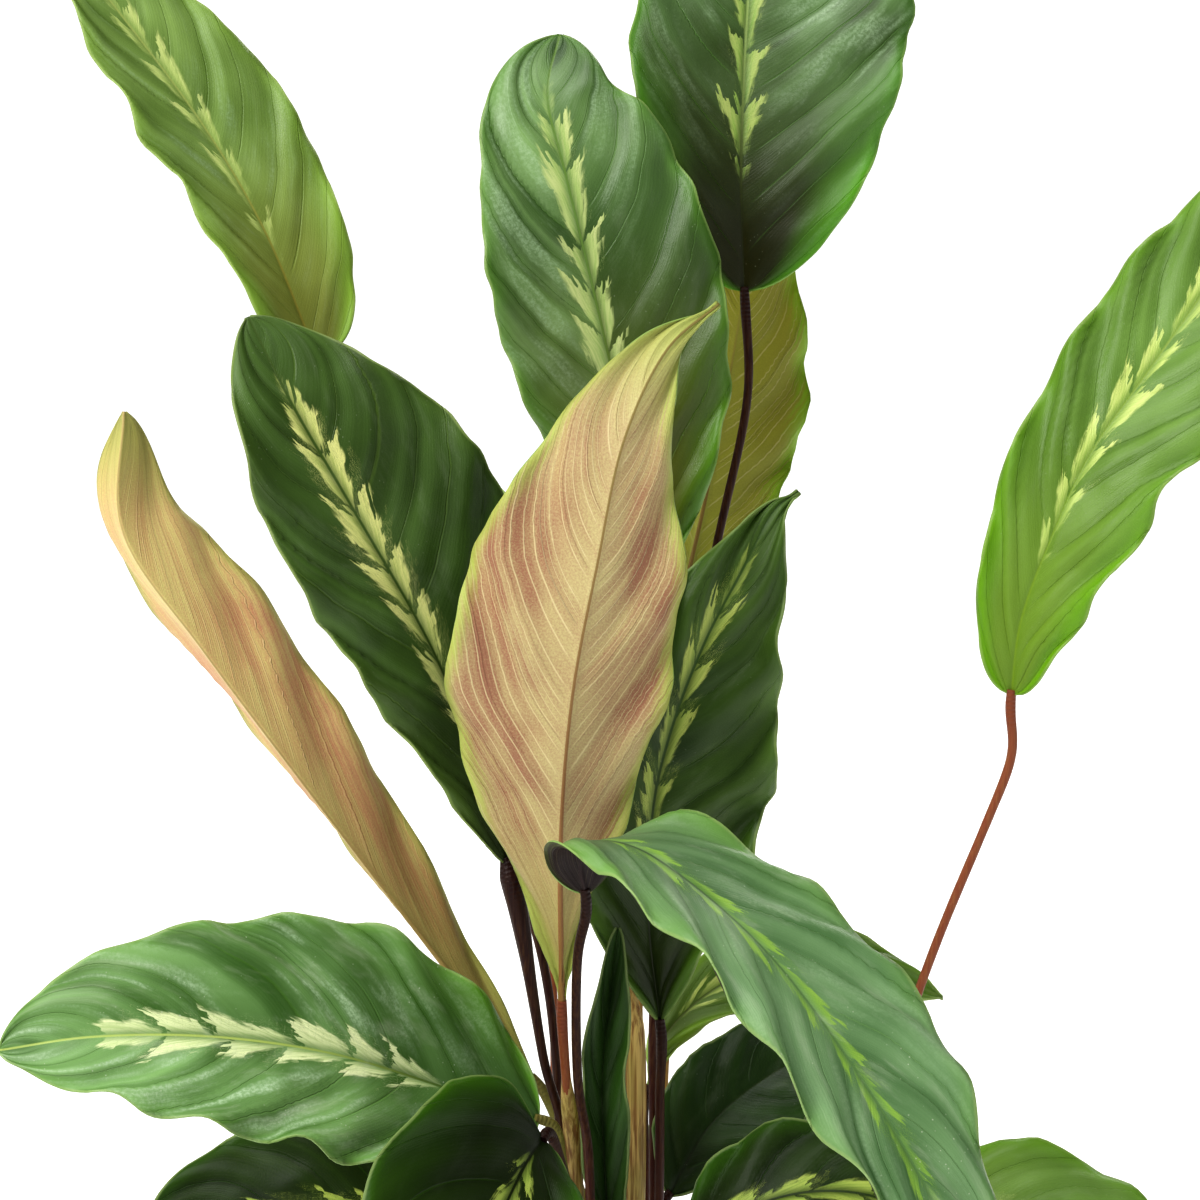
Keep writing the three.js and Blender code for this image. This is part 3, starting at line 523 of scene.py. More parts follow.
# %% The outline and the midrib
def half_width(given, along, left):
    """How far the margin lies from the midrib."""
    widest = given["Widest"]
    below = sine(lowest(along / widest, 1) * (math.pi / 2)) ** given["Base taper"]
    past_widest = highest((along - widest) / (1 - widest), 0)
    above = highest(cosine(past_widest * (math.pi / 2)), 0) ** given["Tip taper"]
    full = given["Left half"] * left + given["Right half"] * (1 - left)
    ragged = noise(along * 9 + given["Seed"] * 5 + left * 9, 1.0) - 0.5
    return highest(full * below * above * (1 + ragged * 0.16), LEAST_HALF_WIDTH * MM)


def midrib(tree, given, along):
    """The midrib's point, the directions up and right from it, and the fold there."""
    line = then(given["Geometry"], "GeometryNodeMeshToCurve")

    def sampled(title, kind):
        inputs = {0: line, "Value": named(tree, title, kind), "Factor": along}
        return add_node(
            tree, "GeometryNodeSampleCurve", inputs, mode="FACTOR", use_all_curves=True, data_type=kind,
        )

    rib = sampled("face", "FLOAT_VECTOR")
    ahead = out_of(rib, "Tangent")
    face = out_of(rib, "Value")
    slip = vector_calc("DOT_PRODUCT", face, ahead, key=1)
    up = vector_calc("NORMALIZE", vector_calc("SUBTRACT", face, times(ahead, slip)))
    right = vector_calc("CROSS_PRODUCT", ahead, up)
    return out_of(rib, "Position"), up, right, out_of(sampled("fold", "FLOAT"), "Value")


print("outline and midrib ready")

# %% Veins, waves and pleats
def vein_place(given, along, out, left):
    """Counts along the side veins, which leave the midrib slanting and bend on toward the tip."""
    vein = given["Length"] * (along - out * given["Slant"] - out * out * 0.14)
    return vein + noise(vein * 40 + given["Seed"] * 7 + left * 3) * (PLEAT_PITCH * MM) * 1.1


def relief(given, vein, across, along, out, left, width):
    """How far waves, pleats and dents push the blade up or down."""
    growth = out ** 1.5
    ends = highest(sine(along * math.pi), 0) ** 0.5
    turns = given["Waves"] * (along - growth * 0.2) * math.tau + given["Phase"] + left * 1.3
    wave = given["Swell"] * growth * ends * sine(turns)
    turn = vein / (PLEAT_PITCH * MM) * math.pi
    beat = size_of(sine(turn)) ** 0.8 + size_of(sine(turn * 2)) * 0.15
    zone = rise(out, 0.02, 0.35) * (1 - rise(out, 0.75, 1) * 0.5)
    calm = ends * (1 - rise(along, 0.6, 0.98) * 0.6)
    pleat = given["Pleat height"] * (beat - 0.7) * zone * calm
    dents = noise(joined(across * width * 60, along * given["Length"] * 60, given["Seed"])) - 0.5
    return wave + pleat + dents * given["Pleat height"] * 2.6 * zone * calm


print("relief ready")

# %% The bent sheet
def bent_blade(tree, given):
    """The grid bent to a leaf's form, with each point's place on the leaf stored, and no thickness yet."""
    sheet = out_of(add_node(tree, "GeometryNodeMeshGrid", {
        "Size X": 1.0, "Size Y": 1.0, "Vertices X": given["Columns"], "Vertices Y": given["Rows"],
    }))
    x, y, _ = parts(out_of(tree.nodes.new("GeometryNodeInputPosition")))

    # Columns crowd toward the midrib and rows toward the two ends
    even_across = x * 2
    across = even_across * (size_of(even_across) * 0.5 + 0.5)
    even_along = y + 0.5
    along = (even_along + (1 - cosine(even_along * math.pi)) * 0.5) * 0.5
    left = is_below(across, 0)
    side = 1 - left * 2
    out = size_of(across)

    # Fold and curl lay each point beside the midrib, and the relief pushes it square to the blade
    width = half_width(given, along, left)
    rib_point, up, right, fold = midrib(tree, given, along)
    curl = given["Curl"]
    lean = fold + curl * out
    reach = width * (sine(lean) - sine(fold)) / curl
    lift = width * (cosine(fold) - cosine(lean)) / curl
    vein = vein_place(given, along, out, left)
    push = relief(given, vein, across, along, out, left, width)
    spot = vector_calc("ADD", rib_point, times(right, side * (reach - push * sine(lean))))
    spot = vector_calc("ADD", spot, times(up, lift + push * cosine(lean)))

    # Where each point is on the leaf, for the colours, and how the midrib thickens the blade
    distance = width * out
    sheet = store(sheet, "blade_mm", times(joined(distance * side, along * given["Length"], vein), 1000))
    sheet = store(sheet, "blade_share", joined(across, along, given["Seed"]))
    ridge = (RIB_DEPTH_BASE + (RIB_DEPTH_TIP - RIB_DEPTH_BASE) * along) * MM
    sheet = store(sheet, "ridge", ridge * bell(distance, RIB_SPREAD * MM), "FLOAT")
    groove = GROOVE_DEPTH * MM * (1 - along) * bell(distance, GROOVE_SPREAD * MM)
    sheet = store(sheet, "groove", groove, "FLOAT")
    return then(sheet, "GeometryNodeSetPosition", {"Position": spot})


print("bend ready")

# %% The tree that makes a blade
def blade_tree():
    tree, given = new_tree(
        "Blade",
        "Length, Left half, Right half, Widest, Base taper, Tip taper, Curl, Waves, Swell, Phase, "
        "Pleat height, Slant, Seed",
        "Rows, Columns",
        "Upper side, Underside",
    )
    bent = bent_blade(tree, given)

    # Close it to a shell: an upper side, an underside and a narrow rim between them
    normal = out_of(tree.nodes.new("GeometryNodeInputNormal"))
    half = BLADE_THICKNESS / 2 * MM
    bent = store(bent, "to_upper", times(normal, half - named(tree, "groove")))
    bent = store(bent, "to_lower", times(normal, (half + named(tree, "ridge")) * -1))
    raised = add_node(tree, "GeometryNodeExtrudeMesh", {0: bent, "Offset Scale": 0.0, "Individual": False})
    lower = named(tree, "to_lower", "FLOAT_VECTOR")
    upper = named(tree, "to_upper", "FLOAT_VECTOR")
    choices = {"Switch": out_of(raised, "Top"), "False": lower, "True": upper}
    move = out_of(add_node(tree, "GeometryNodeSwitch", choices, input_type="VECTOR"))
    shell = then(out_of(raised, "Mesh"), "GeometryNodeSetPosition", {"Offset": move})
    shell = then(shell, "GeometryNodeSetMaterial", {"Material": given["Upper side"]})
    base = then(bent, "GeometryNodeSetPosition", {"Offset": lower})
    base = then(base, "GeometryNodeFlipFaces")
    base = then(base, "GeometryNodeSetMaterial", {"Material": given["Underside"]})
    both = tree.nodes.new("GeometryNodeJoinGeometry")
    for sheet in (base, shell):
        tree.links.new(sheet.socket, both.inputs[0])
    welded = then(out_of(both), "GeometryNodeMergeByDistance", {"Distance": 0.01 * MM})
    finish_tree(then(welded, "GeometryNodeSetShadeSmooth"))
    return tree


BLADE_TREE = blade_tree()
print("nodes in the blade's tree:", len(BLADE_TREE.nodes))

# %% [markdown]
# ## Colours and materials
#
# Colours are given as on a screen. Every material here is a ground colour under layers, each with a
# share that a rule gives, and a height in millimetres that shows in the light.

# %% Colours as on a screen, and materials
def paint(red, green, blue):
    """A colour given as on a screen, from 0 to 255, in the linear form that shaders use."""
    shares = [c / 255 for c in (red, green, blue)]
    linear = [s / 12.92 if s <= 0.04 else ((s + 0.055) / 1.055) ** 2.4 for s in shares]
    return (*linear, 1.0)


def new_material(name, rough, shine):
    """A material, its tree and its surface shader."""
    material = bpy.data.materials.new(name)
    material.use_nodes = True
    tree = material.node_tree
    tree.nodes.clear()
    surface = add_node(tree, "ShaderNodeBsdfPrincipled", {"Roughness": rough, "Specular IOR Level": shine})
    add_node(tree, "ShaderNodeOutputMaterial", {0: out_of(surface)})
    return material, tree, surface


def dress(surface, colour, height, rough=None, depth=1.0):
    """Gives a surface its colour, its height in millimetres, and a roughness that varies."""
    tree = surface.id_data
    bumps = add_node(tree, "ShaderNodeBump", {"Height": height, "Distance": depth * MM})
    for title, field in (("Base Color", colour), ("Normal", out_of(bumps)), ("Roughness", rough)):
        if field is not None:
            tree.links.new(field.socket, surface.inputs[title])


def mixed(share, first, second):
    """A colour between two colours."""
    made = add_node(share.tree, "ShaderNodeMix", {0: share, 6: first, 7: second}, data_type="RGBA")
    return out_of(made, 2)


def layered(colour, *layers):
    """The colour under layers, each given as its share and its own colour."""
    for share, layer in layers:
        colour = mixed(share, colour, layer)
    return colour


def halfway(first, second, share=0.5):
    """A plain colour between two plain colours."""
    return tuple(a + (b - a) * share for a, b in zip(first, second))


print("linear white:", paint(255, 255, 255))

# %% Where a point is
def attribute(tree, title, key="Vector"):
    return out_of(add_node(tree, "ShaderNodeAttribute", attribute_name=title), key)


def object_place(tree):
    """The point's place on its object, in millimetres."""
    return times(out_of(tree.nodes.new("ShaderNodeTexCoord"), "Object"), 1000)


def leaf_places(tree):
    """Where a point is on its leaf, in millimetres and as shares, the leaf's seed, and which half it is."""
    across, along, vein = parts(attribute(tree, "blade_mm"))
    share_across, share_along, seed = parts(attribute(tree, "blade_share"))
    distance = size_of(across)
    out = size_of(share_across)
    return SimpleNamespace(
        across=across, along=along, vein=vein, distance=distance, out=out, share_along=share_along, seed=seed,
        left=is_below(across, 0), from_margin=distance / highest(out, 0.02) - distance,
    )


print("places ready")

# %% [markdown]
# ## The leaf's upper side
#
# The upper side is green with a feather of pale strokes on both sides of the midrib. The strokes stand in
# tufts: each tuft widens toward the tip of the leaf and then ends in ragged points, and the next one starts.
# They could be painted by hand for each leaf, but a rule keeps them different on each leaf and sharp at any
# size: a sawtooth along the midrib gives the tufts, fine noise across the strokes gives the ragged ends, and
# both count along a line that slants forward, so that the strokes do too.
#
# The green itself has soft bands between the pleats, each pleat painted lighter on its crest as painted light
# and shade, a thin vein in each crease, a lime margin, a lime glow toward the base painted as light shining
# through the leaf, and a deeper root that is partly painted shade. On some leaves one half is painted darker
# as painted shade, and a whitish painted sheen and dusty specks lie on it.

# %% The green, from base to margin
def green_of(at, look, dark, light, lime, root):
    """The green without its feather, and the drift, root, crease lines and fine lines that made it."""

    # Each pleat is painted lighter on its crest and darker toward its creases, as painted light and shade;
    # the green also drifts over the leaf, with fine lines along the veins
    key = at.seed * 17.3 + at.left * 5.1
    crest = size_of(sine(at.vein * (math.pi / PLEAT_PITCH)))
    bands = noise(at.vein * 0.11 + key, 1.5)
    drift = noise(joined(at.across * 0.035, at.along * 0.03, at.seed * 9.7), 2.0)
    lines = sine(at.vein * (math.tau / 1.1) + noise(at.vein * 0.4 + key) * 6)
    tone = crest * rise(at.out, 0.05, 0.4) * 0.2 + rise(bands, 0.3, 0.7) * 0.3 + rise(drift, 0.3, 0.7) * 0.5
    # One half of some leaves is painted darker as painted shade, less so toward the tip
    deep = at.left * look["deep_left"] + (1 - at.left) * look["deep_right"]
    deep = deep * (1 - rise(at.share_along, 0.5, 0.9) * 0.7)
    green = mixed(held((tone + lines * 0.02) * (1 - deep), 0, 1), dark, light)

    # A whitish painted sheen, with a dusty grain, lies in patches between the creases, on the pleat crests
    patches = noise(joined(at.across * 0.07, at.vein * 0.12, at.seed * 5.3), 3.0, 0.6)
    powder = noise(joined(at.across * 1.1, at.along * 1.1, at.seed), 3.0, 0.75)
    bloom = rise(patches, 0.45, 0.72) * rise(crest, 0.1, 0.7) * rise(at.out, 0.1, 0.35) * (1 - deep)
    bloom = bloom * (rise(powder, 0.4, 0.62) * 0.6 + 0.4)

    # The base is deeper, partly in its own colour and partly as painted shade, and browner along the midrib.
    # A thin pale vein lies in each crease.
    at_root = (1 - rise(at.share_along, 0.05, look["root_end"])) * (1 - rise(at.out, 0.4, 1.1) * 0.45)
    at_root = at_root * look["root_share"]
    crease_line = (1 - rise(crest, 0.015, 0.09)) * rise(at.out, 0.05, 0.25)

    # A lime margin, and a lime glow toward the leaf's base and near its edge, painted as light shining
    # through the leaf
    from_edge = at.from_margin
    wash = (1 - rise(at.share_along, 0.05, 0.5)) * rise(at.out, 0.45, 1.0) * look["lime_share"]
    edge_wash = (1 - rise(from_edge, 0.3, 5)) * look["lime_share"] * 0.5
    margin = 1 - rise(from_edge, 0.1, 0.75)
    green = layered(
        green, (bloom * look["bloom"], paint(170, 196, 158)), (at_root, root), (crease_line * 0.13, lime),
        (held(wash + edge_wash, 0, 0.9), lime), (margin * 0.5, halfway(lime, paint(190, 200, 140))),
    )
    return green, drift, at_root, crease_line, lines


print("green ready")

# %% The feather
def feather_of(at, look):
    """How much of the feather shows, and how far its strokes have the feather's own colour."""
    key = at.seed * 17.3 + at.left * 5.1
    lane = at.distance - at.along * 0.27 + noise(at.along * 0.08 + key) * 2
    bristle = draw(whole_part(lane / 0.8) * 0.73 + key)
    fuzz = noise(joined(lane * 1.3, at.along * 0.25, key), 2.0)

    # Wedges widen toward the tip, each between two side veins and cut off ragged at the further one
    wedge = (at.vein + bristle * 3.2 + fuzz * 3) / PLEAT_PITCH + draw(at.seed)
    share = calc("FRACT", wedge)
    start = look["feather_start"]
    taper = rise(at.share_along, start, start + 0.2) * (1 - rise(at.share_along, 0.74, 0.94))
    size = draw(whole_part(wedge) + at.left * 31 + at.seed * 7) * 0.45 + 0.7
    finger = draw(whole_part((at.vein + fuzz * 1.5) / 2.1) * 0.37 + key) * 0.36 + 0.78
    limit = (share ** 0.7 - 0.08) * size * finger * taper * look["reach"] + (fuzz - 0.5) * 1.6
    strokes = rise(limit - at.distance, -0.2 - look["soft"] * 0.5, 0.3 + look["soft"])
    grown = rise(limit, 0.5, 1.2) * (rise(at.distance, 0.15, 2.4) * 0.7 + 0.3) * rise(at.distance, 0.1, 0.5)

    # Inside, fine strokes of both greens, paler away from the midrib
    weave = noise(joined(lane * 2.4, at.along * 0.12, key * 2), 1.0)
    return strokes * grown, rise(at.distance, 0.4, 4.5) * 0.55 + rise(weave, 0.35, 0.6) * 0.45


print("feather ready")

# %% The upper side
PLAIN_UPPER = {
    "reach": 5.5, "feather_share": 1.0, "feather_start": 0.14, "soft": 0.5, "lime_share": 0.5,
    "root_share": 0.6, "root_end": 0.5, "deep_left": 0.0, "deep_right": 0.0, "rough": 0.4, "shine": 0.27,
    "dust": 0.3, "bloom": 0.0,
}


def upper_side(name, *colours, **own):
    """A look's name and material, from its greens, feather, rib, lime and root, and what sets it apart."""
    look = {**PLAIN_UPPER, **own}
    dark, light, feather, rib, lime, root = (paint(*c) for c in colours)
    material, tree, surface = new_material("upper_" + name, look["rough"], look["shine"])
    at = leaf_places(tree)
    green, drift, at_root, crease_line, lines = green_of(at, look, dark, light, lime, root)
    strokes, own_colour = feather_of(at, look)

    # The midrib pales toward the tip
    rib_line = 1 - rise(at.distance, 0.15, 0.5)
    rib_colour = mixed(rise(at.share_along, 0.1, 0.6), root, rib)

    # Dust and dry specks, a whitish painted sheen in hazy patches, and a gloss that varies from place to
    # place
    place = joined(at.across, at.along, at.seed * 40)
    specks = out_of(add_node(tree, "ShaderNodeTexVoronoi", {"Vector": place, "Scale": 0.55}))
    speck = (1 - rise(specks, 0.05, 0.13)) * rise(noise(times(place, 0.06)), 0.45, 0.7)
    clouds = noise(joined(at.across * 0.14, at.vein * 0.1, at.seed * 3), 4.0, 0.6)
    haze = rise(clouds, 0.5, 0.78) * (1 - at_root)
    green = layered(
        green,
        (strokes * (rise(drift, 0.1, 0.5) * 0.25 + 0.75) * look["feather_share"],
         mixed(own_colour, halfway(feather, lime, 0.55), feather)),
        (rib_line * 0.8, rib_colour),
        (held(speck * 0.6 + haze * 0.22, 0, 1) * look["dust"], paint(186, 196, 170)),
    )
    gloss = noise(joined(at.across * 0.08, at.vein * 0.12, at.seed), 3.0)
    cells = noise(times(place, 2.2), 1.0)
    height = lines * 0.008 + cells * 0.05 - crease_line * 0.12 + strokes * 0.03
    dress(surface, green, height, gloss * 0.2 + (look["rough"] - 0.1) + haze * look["dust"] * 0.15)
    return name, material


print("looks differ in", ", ".join(PLAIN_UPPER))

# %% The looks of upper sides
UPPER = dict([
    upper_side("dark", (38, 58, 12), (78, 106, 48), (214, 214, 138), (58, 80, 24), (112, 144, 40),
               (36, 40, 6), reach=8.2, lime_share=0.15),
    upper_side("dusk", (34, 56, 14), (84, 112, 48), (196, 206, 110), (54, 80, 30), (96, 140, 36),
               (26, 34, 4), reach=5.4, lime_share=0.3, root_share=0.85),
    upper_side("deep", (40, 60, 16), (120, 156, 98), (178, 192, 112), (150, 172, 100), (88, 156, 20),
               (34, 36, 6), reach=7.6, lime_share=0.6, root_share=0.97, root_end=0.66, shine=0.24, bloom=0.7,
               deep_left=0.4, feather_share=0.8, soft=0.8),
    upper_side("middle", (54, 86, 22), (100, 134, 52), (202, 210, 128), (104, 128, 58), (132, 172, 46),
               (66, 74, 18), reach=6.5),
    upper_side("olive", (76, 102, 36), (132, 160, 86), (206, 216, 140), (150, 164, 90), (128, 166, 54),
               (134, 126, 48), reach=4.8, lime_share=0.6, root_share=0.5, bloom=0.3, feather_share=0.8,
               soft=0.8),
    upper_side("grey", (40, 68, 22), (128, 162, 98), (196, 206, 138), (98, 128, 56), (92, 150, 26),
               (80, 82, 12), reach=7.6, rough=0.36, root_share=0.9, root_end=0.7, bloom=0.6, deep_right=0.85,
               feather_share=0.85, soft=0.9),
    upper_side("cool", (66, 102, 56), (122, 156, 108), (150, 188, 72), (92, 126, 70), (112, 158, 64),
               (60, 78, 50), reach=5.0, rough=0.42, dust=1.2, bloom=0.3, root_end=0.4, feather_share=0.85,
               feather_start=0.03),
    upper_side("fresh", (72, 104, 32), (116, 150, 72), (200, 212, 126), (128, 152, 60), (104, 156, 14),
               (112, 142, 26), reach=6.2, lime_share=0.8),
    upper_side("cream", (50, 86, 26), (128, 168, 102), (226, 234, 180), (180, 198, 104), (96, 148, 34),
               (44, 78, 14), reach=8.0, dust=1.4, bloom=1.0, root_share=0.75, soft=0.7),
    # The night and plain looks are very dark, partly in their own green and partly as painted shade for the
    # low and inner leaves under the others
    upper_side("night", (16, 30, 3), (40, 62, 14), (170, 186, 90), (40, 56, 16), (64, 112, 16), (18, 26, 3),
               reach=6.5, lime_share=0.45, rough=0.46, shine=0.16, dust=0.12, feather_start=0.03),
    upper_side("plain", (18, 36, 6), (50, 80, 30), (90, 120, 60), (40, 60, 18), (64, 108, 26), (18, 30, 4),
               reach=0.0, lime_share=0.25, shine=0.26),
])
print("upper sides:", ", ".join(UPPER))

# %% [markdown]
# ## The leaf's underside
#
# Undersides have no feather. Young ones are tan with rose streaks and a lime margin, others are olive or
# lime, and old ones are dark purple. Thin pale veins run out from the midrib at even steps. The midrib is a
# ridge here, red brown near the base and paler above. The streaks follow the same lines that shape the
# pleats, so both sides of a leaf agree.

# %% The underside
def underside(name, *colours, streak_share=0.8, margin_width=2.5, vein_share=0.4, tip_start=0.86,
              base_end=0.22):
    """A look's name and material, from its ground, streaks, margin, lower and upper rib, and base."""
    ground, streak, margin_colour, rib_low, rib_high, base = (paint(*c) for c in colours)
    material, tree, surface = new_material("under_" + name, 0.55, 0.35)
    at = leaf_places(tree)
    key = at.seed * 11.7 + at.left * 3.3

    # Streaks lie between the side veins and vary in strength along and across the leaf
    fine = noise(joined(at.vein * 0.4 + key, at.distance * 0.12, at.seed), 1.0)
    broad = noise(joined(at.vein * 0.16 + key * 2, at.distance * 0.04, at.seed), 1.0)
    patch = noise(joined(at.across * 0.06, at.along * 0.04, at.seed * 5), 2.0)
    grain = noise(joined(at.across * 1.9, at.along * 1.9, at.seed), 2.0, 0.7)
    fill = rise(at.share_along, 0.1, 0.3) * (1 - rise(at.share_along, 0.6, 0.9) * 0.6)
    fill = fill * (rise(at.out, 0.0, 0.5) * 0.7 + 0.3)
    streaks = rise(fine, 0.3, 0.7) * 0.14 + rise(broad, 0.3, 0.65) * 0.4 + rise(patch, 0.35, 0.65) * 0.34
    streaks = held((streaks + 0.18) * (fill * 0.7 + 0.3) + (grain - 0.5) * 1.3, 0, 1)
    pale_veins = (1 - rise(size_of(sine(at.vein * (math.pi / 4.2))), 0.04, 0.3)) * rise(at.out, 0.02, 0.15)
    crest = size_of(sine(at.vein * (math.pi / PLEAT_PITCH)))
    crease_line = (1 - rise(crest, 0.02, 0.1)) * rise(at.out, 0.03, 0.1)

    # The base is greener, and the margin and tip are lime
    ragged_edge = at.from_margin + (noise(at.vein * 0.5 + key, 3.0) - 0.4) * margin_width * 1.6
    margin = 1 - rise(ragged_edge, 0, margin_width * 1.5)
    tip = rise(at.share_along, tip_start, 1.0)

    # The midrib narrows toward the tip
    rib_width = (1 - at.share_along) * 0.35 + 0.2
    rib_line = 1 - rise(at.distance, rib_width * 0.6, rib_width * 1.1)
    colour = layered(
        mixed(streaks * streak_share, ground, streak),
        (pale_veins * vein_share, halfway(ground, paint(236, 220, 176))),
        (crease_line * 0.15, streak),
        ((1 - rise(at.share_along, 0.0, base_end)) * 0.75, base),
        (highest(margin * 0.8, tip * 0.85), margin_colour),
        (rib_line * 0.85, mixed(rise(at.share_along, 0.2, 0.9), rib_low, rib_high)),
    )
    lines = sine(at.vein * (math.tau / 1.2))
    cells = noise(times(joined(at.across, at.along, at.seed * 40), 2.0), 2.0)
    height = lines * 0.01 + cells * 0.06 + crease_line * 0.12 + pale_veins * 0.06
    dress(surface, colour, height, cells * 0.2 + 0.45)
    return name, material


print("underside ready")

# %% The looks of undersides
UNDER = dict([
    underside("rose", (192, 180, 126), (146, 96, 74), (166, 184, 84), (134, 84, 44), (128, 110, 58),
              (158, 146, 76), streak_share=0.95, margin_width=3.4, vein_share=0.65, tip_start=0.76,
              base_end=0.32),
    underside("blush", (212, 200, 128), (190, 116, 96), (168, 172, 88), (156, 132, 78), (180, 160, 104),
              (118, 108, 38), base_end=0.62),
    underside("lime", (142, 146, 48), (112, 108, 30), (120, 168, 24), (112, 80, 36), (150, 152, 66),
              (116, 120, 36), streak_share=0.55, margin_width=4.4),
    underside("tan", (206, 190, 118), (166, 110, 78), (172, 174, 80), (134, 92, 46), (170, 152, 88),
              (112, 94, 32), streak_share=0.65),
    underside("olive", (132, 138, 46), (108, 102, 30), (118, 164, 30), (112, 80, 36), (144, 146, 60),
              (116, 120, 36), streak_share=0.7),
    underside("purple", (56, 38, 38), (26, 17, 17), (72, 82, 34), (40, 22, 24), (84, 60, 50), (32, 24, 23),
              margin_width=1.2),
])
print("undersides:", ", ".join(UNDER))

# %% [markdown]
# ## The blades
#
# Each entry of the table becomes a chain of edges along its midrib, with the direction that the upper side
# faces and the fold stored at each point. The blade's tree does the rest. Each blade stands for its solid in
# the frame.

# %% Grow the blades
def blade(leaf, seed):
    points, length = walk_curve(leaf["rib"], MIDRIB_STEPS + 1)
    shares = [k / MIDRIB_STEPS for k in range(MIDRIB_STEPS + 1)]
    base = chain(points, {
        "face": [at_share(leaf["face"], s) for s in shares],
        "fold": [math.radians(at_share(leaf["fold"], s)) for s in shares],
    })
    made = grow("blade_" + leaf["name"], base, BLADE_TREE, {
        "Rows": max(FEWEST_ROWS, round(length / ROW_SPACING)),
        "Columns": COLUMNS,
        "Length": length * MM,
        "Left half": leaf["half"][0] * MM,
        "Right half": leaf["half"][1] * MM,
        "Widest": float(leaf["widest"]),
        "Base taper": float(leaf["taper"][0]),
        "Tip taper": float(leaf["taper"][1]),
        "Curl": math.radians(leaf["curl"]) or 0.0001,
        "Waves": float(leaf["waves"]),
        "Swell": leaf["swell"] * MM,
        "Phase": float(leaf["phase"]),
        "Pleat height": PLEAT_HEIGHT * MM * min(1.0, sum(leaf["half"]) / FULL_PLEAT_WIDTH) * leaf["pleats"],
        "Slant": leaf["slant"],
        "Seed": float(seed),
        "Upper side": UPPER[leaf["upper"]],
        "Underside": UNDER[leaf["under"]],
    })
    for title in ("to_upper", "to_lower", "ridge", "groove"):
        made.data.attributes.remove(made.data.attributes[title])
    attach(made, "root")
    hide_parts("leaf_" + leaf["name"])
    return made


blades = [blade(leaf, seed) for seed, leaf in enumerate(LEAVES)]
print("blades:", len(blades), "with", sum(len(b.data.polygons) for b in blades), "faces")

# %% [markdown]
# ## The stalks
#
# A stalk is a slim round petiole. It is thickest at its foot, where an old sheath wraps it, and swells again
# just under the blade, in the knee that lets the leaf rise at night and sink by day. A curve with a round
# profile and a radius that follows the length is the natural way, and it is one tree for all the stalks.

# %% The tree that makes a stalk
STALK_RADIUS = 1.15
STALK_SIDES = 14
FOOT_RADIUS = 1.65
FOOT_LENGTH = 60.0
KNEE = (1.4, 14.0)
LONG_KNEES = {"left_centre": (2.9, 27.0), "high_left": (1.6, 22.0)}


def finish_tube(given, profile, radius):
    """Ends a tree with a smooth tube along the chain, in the given skin."""
    line = then(given["Geometry"], "GeometryNodeMeshToCurve")
    inputs = {"Profile Curve": profile, "Scale": radius, "Fill Caps": True}
    smooth = then(then(line, "GeometryNodeCurveToMesh", inputs), "GeometryNodeSetShadeSmooth")
    finish_tree(then(smooth, "GeometryNodeSetMaterial", {"Material": given["Skin"]}))


def stalk_tree():
    tree, given = new_tree("Stalk", "Knee radius, Knee length", materials="Skin")
    walked = named(tree, "walked")
    left = named(tree, "to_blade")
    foot = calc("EXPONENT", walked / (FOOT_LENGTH * MM) * -1)
    knee = bell(left, given["Knee length"]) * rise(left, -2 * MM, 6 * MM)
    radius = (FOOT_RADIUS - STALK_RADIUS) * MM * foot + STALK_RADIUS * MM
    radius = radius + (given["Knee radius"] - STALK_RADIUS * MM) * knee
    wobble = noise(walked * 60) - 0.5
    circle = {"Resolution": STALK_SIDES, "Radius": 1.0}
    profile = out_of(add_node(tree, "GeometryNodeCurvePrimitiveCircle", circle))
    finish_tube(given, profile, radius * (1 + wobble * 0.12))
    return tree


STALK_TREE = stalk_tree()
print("nodes in the stalk's tree:", len(STALK_TREE.nodes))

# %% [markdown]
# ## The stalks' skin
#
# The skin changes along a stalk: straw and dry brown at the sheathed foot, then maroon, red, gold or green,
# with fine lines and short flecks along it, and darker at the knee. Two stored lengths tell the material
# where it is.

# %% The skin
def stalk_skin(name, *colours):
    """A skin's name and material, from its colours low and high on the stalk, at the foot and at the knee."""
    low, high, foot, knee = (paint(*c) for c in colours)
    material, tree, surface = new_material("stalk_" + name, 0.42, 0.2)
    walked = attribute(tree, "walked", "Fac") * 1000
    left = attribute(tree, "to_blade", "Fac") * 1000
    x, y, z = parts(object_place(tree))
    streaks = noise(joined(x * 1.6, y * 1.6, z * 0.05), 3.0)
    flecks = rise(noise(joined(x * 1.2, y * 1.2, z * 0.35), 2.0), 0.58, 0.68)
    colour = layered(
        mixed(rise(walked, 40, 180), low, high), (rise(streaks, 0.35, 0.7) * 0.16, foot),
        ((1 - rise(walked, 30, 95)) * 0.85, foot), (flecks * 0.3, knee), (bell(left, 13.0) * 0.8, knee),
    )
    wrinkles = sine(left * 5.5) * bell(left, 10.0)
    dress(surface, colour, streaks * 0.25 + wrinkles * 0.06, streaks * 0.3 + 0.28)
    return name, material


SKINS = dict([
    stalk_skin("maroon", (74, 30, 20), (42, 14, 10), (130, 94, 50), (34, 12, 10)),
    stalk_skin("red", (168, 94, 52), (130, 70, 46), (176, 140, 80), (124, 66, 44)),
    stalk_skin("gold", (176, 140, 76), (150, 112, 62), (190, 158, 88), (120, 84, 50)),
    stalk_skin("green", (146, 138, 66), (130, 132, 62), (180, 160, 88), (96, 88, 46)),
])
print("skins:", ", ".join(SKINS))

# %% Grow the stalks
STALK_POINTS = 150
EASING_ROUNDS = 12
FOOT_DEPTH = 18.0
NECK_LENGTH = 5.0
NECK_OVERLAP = 1.2


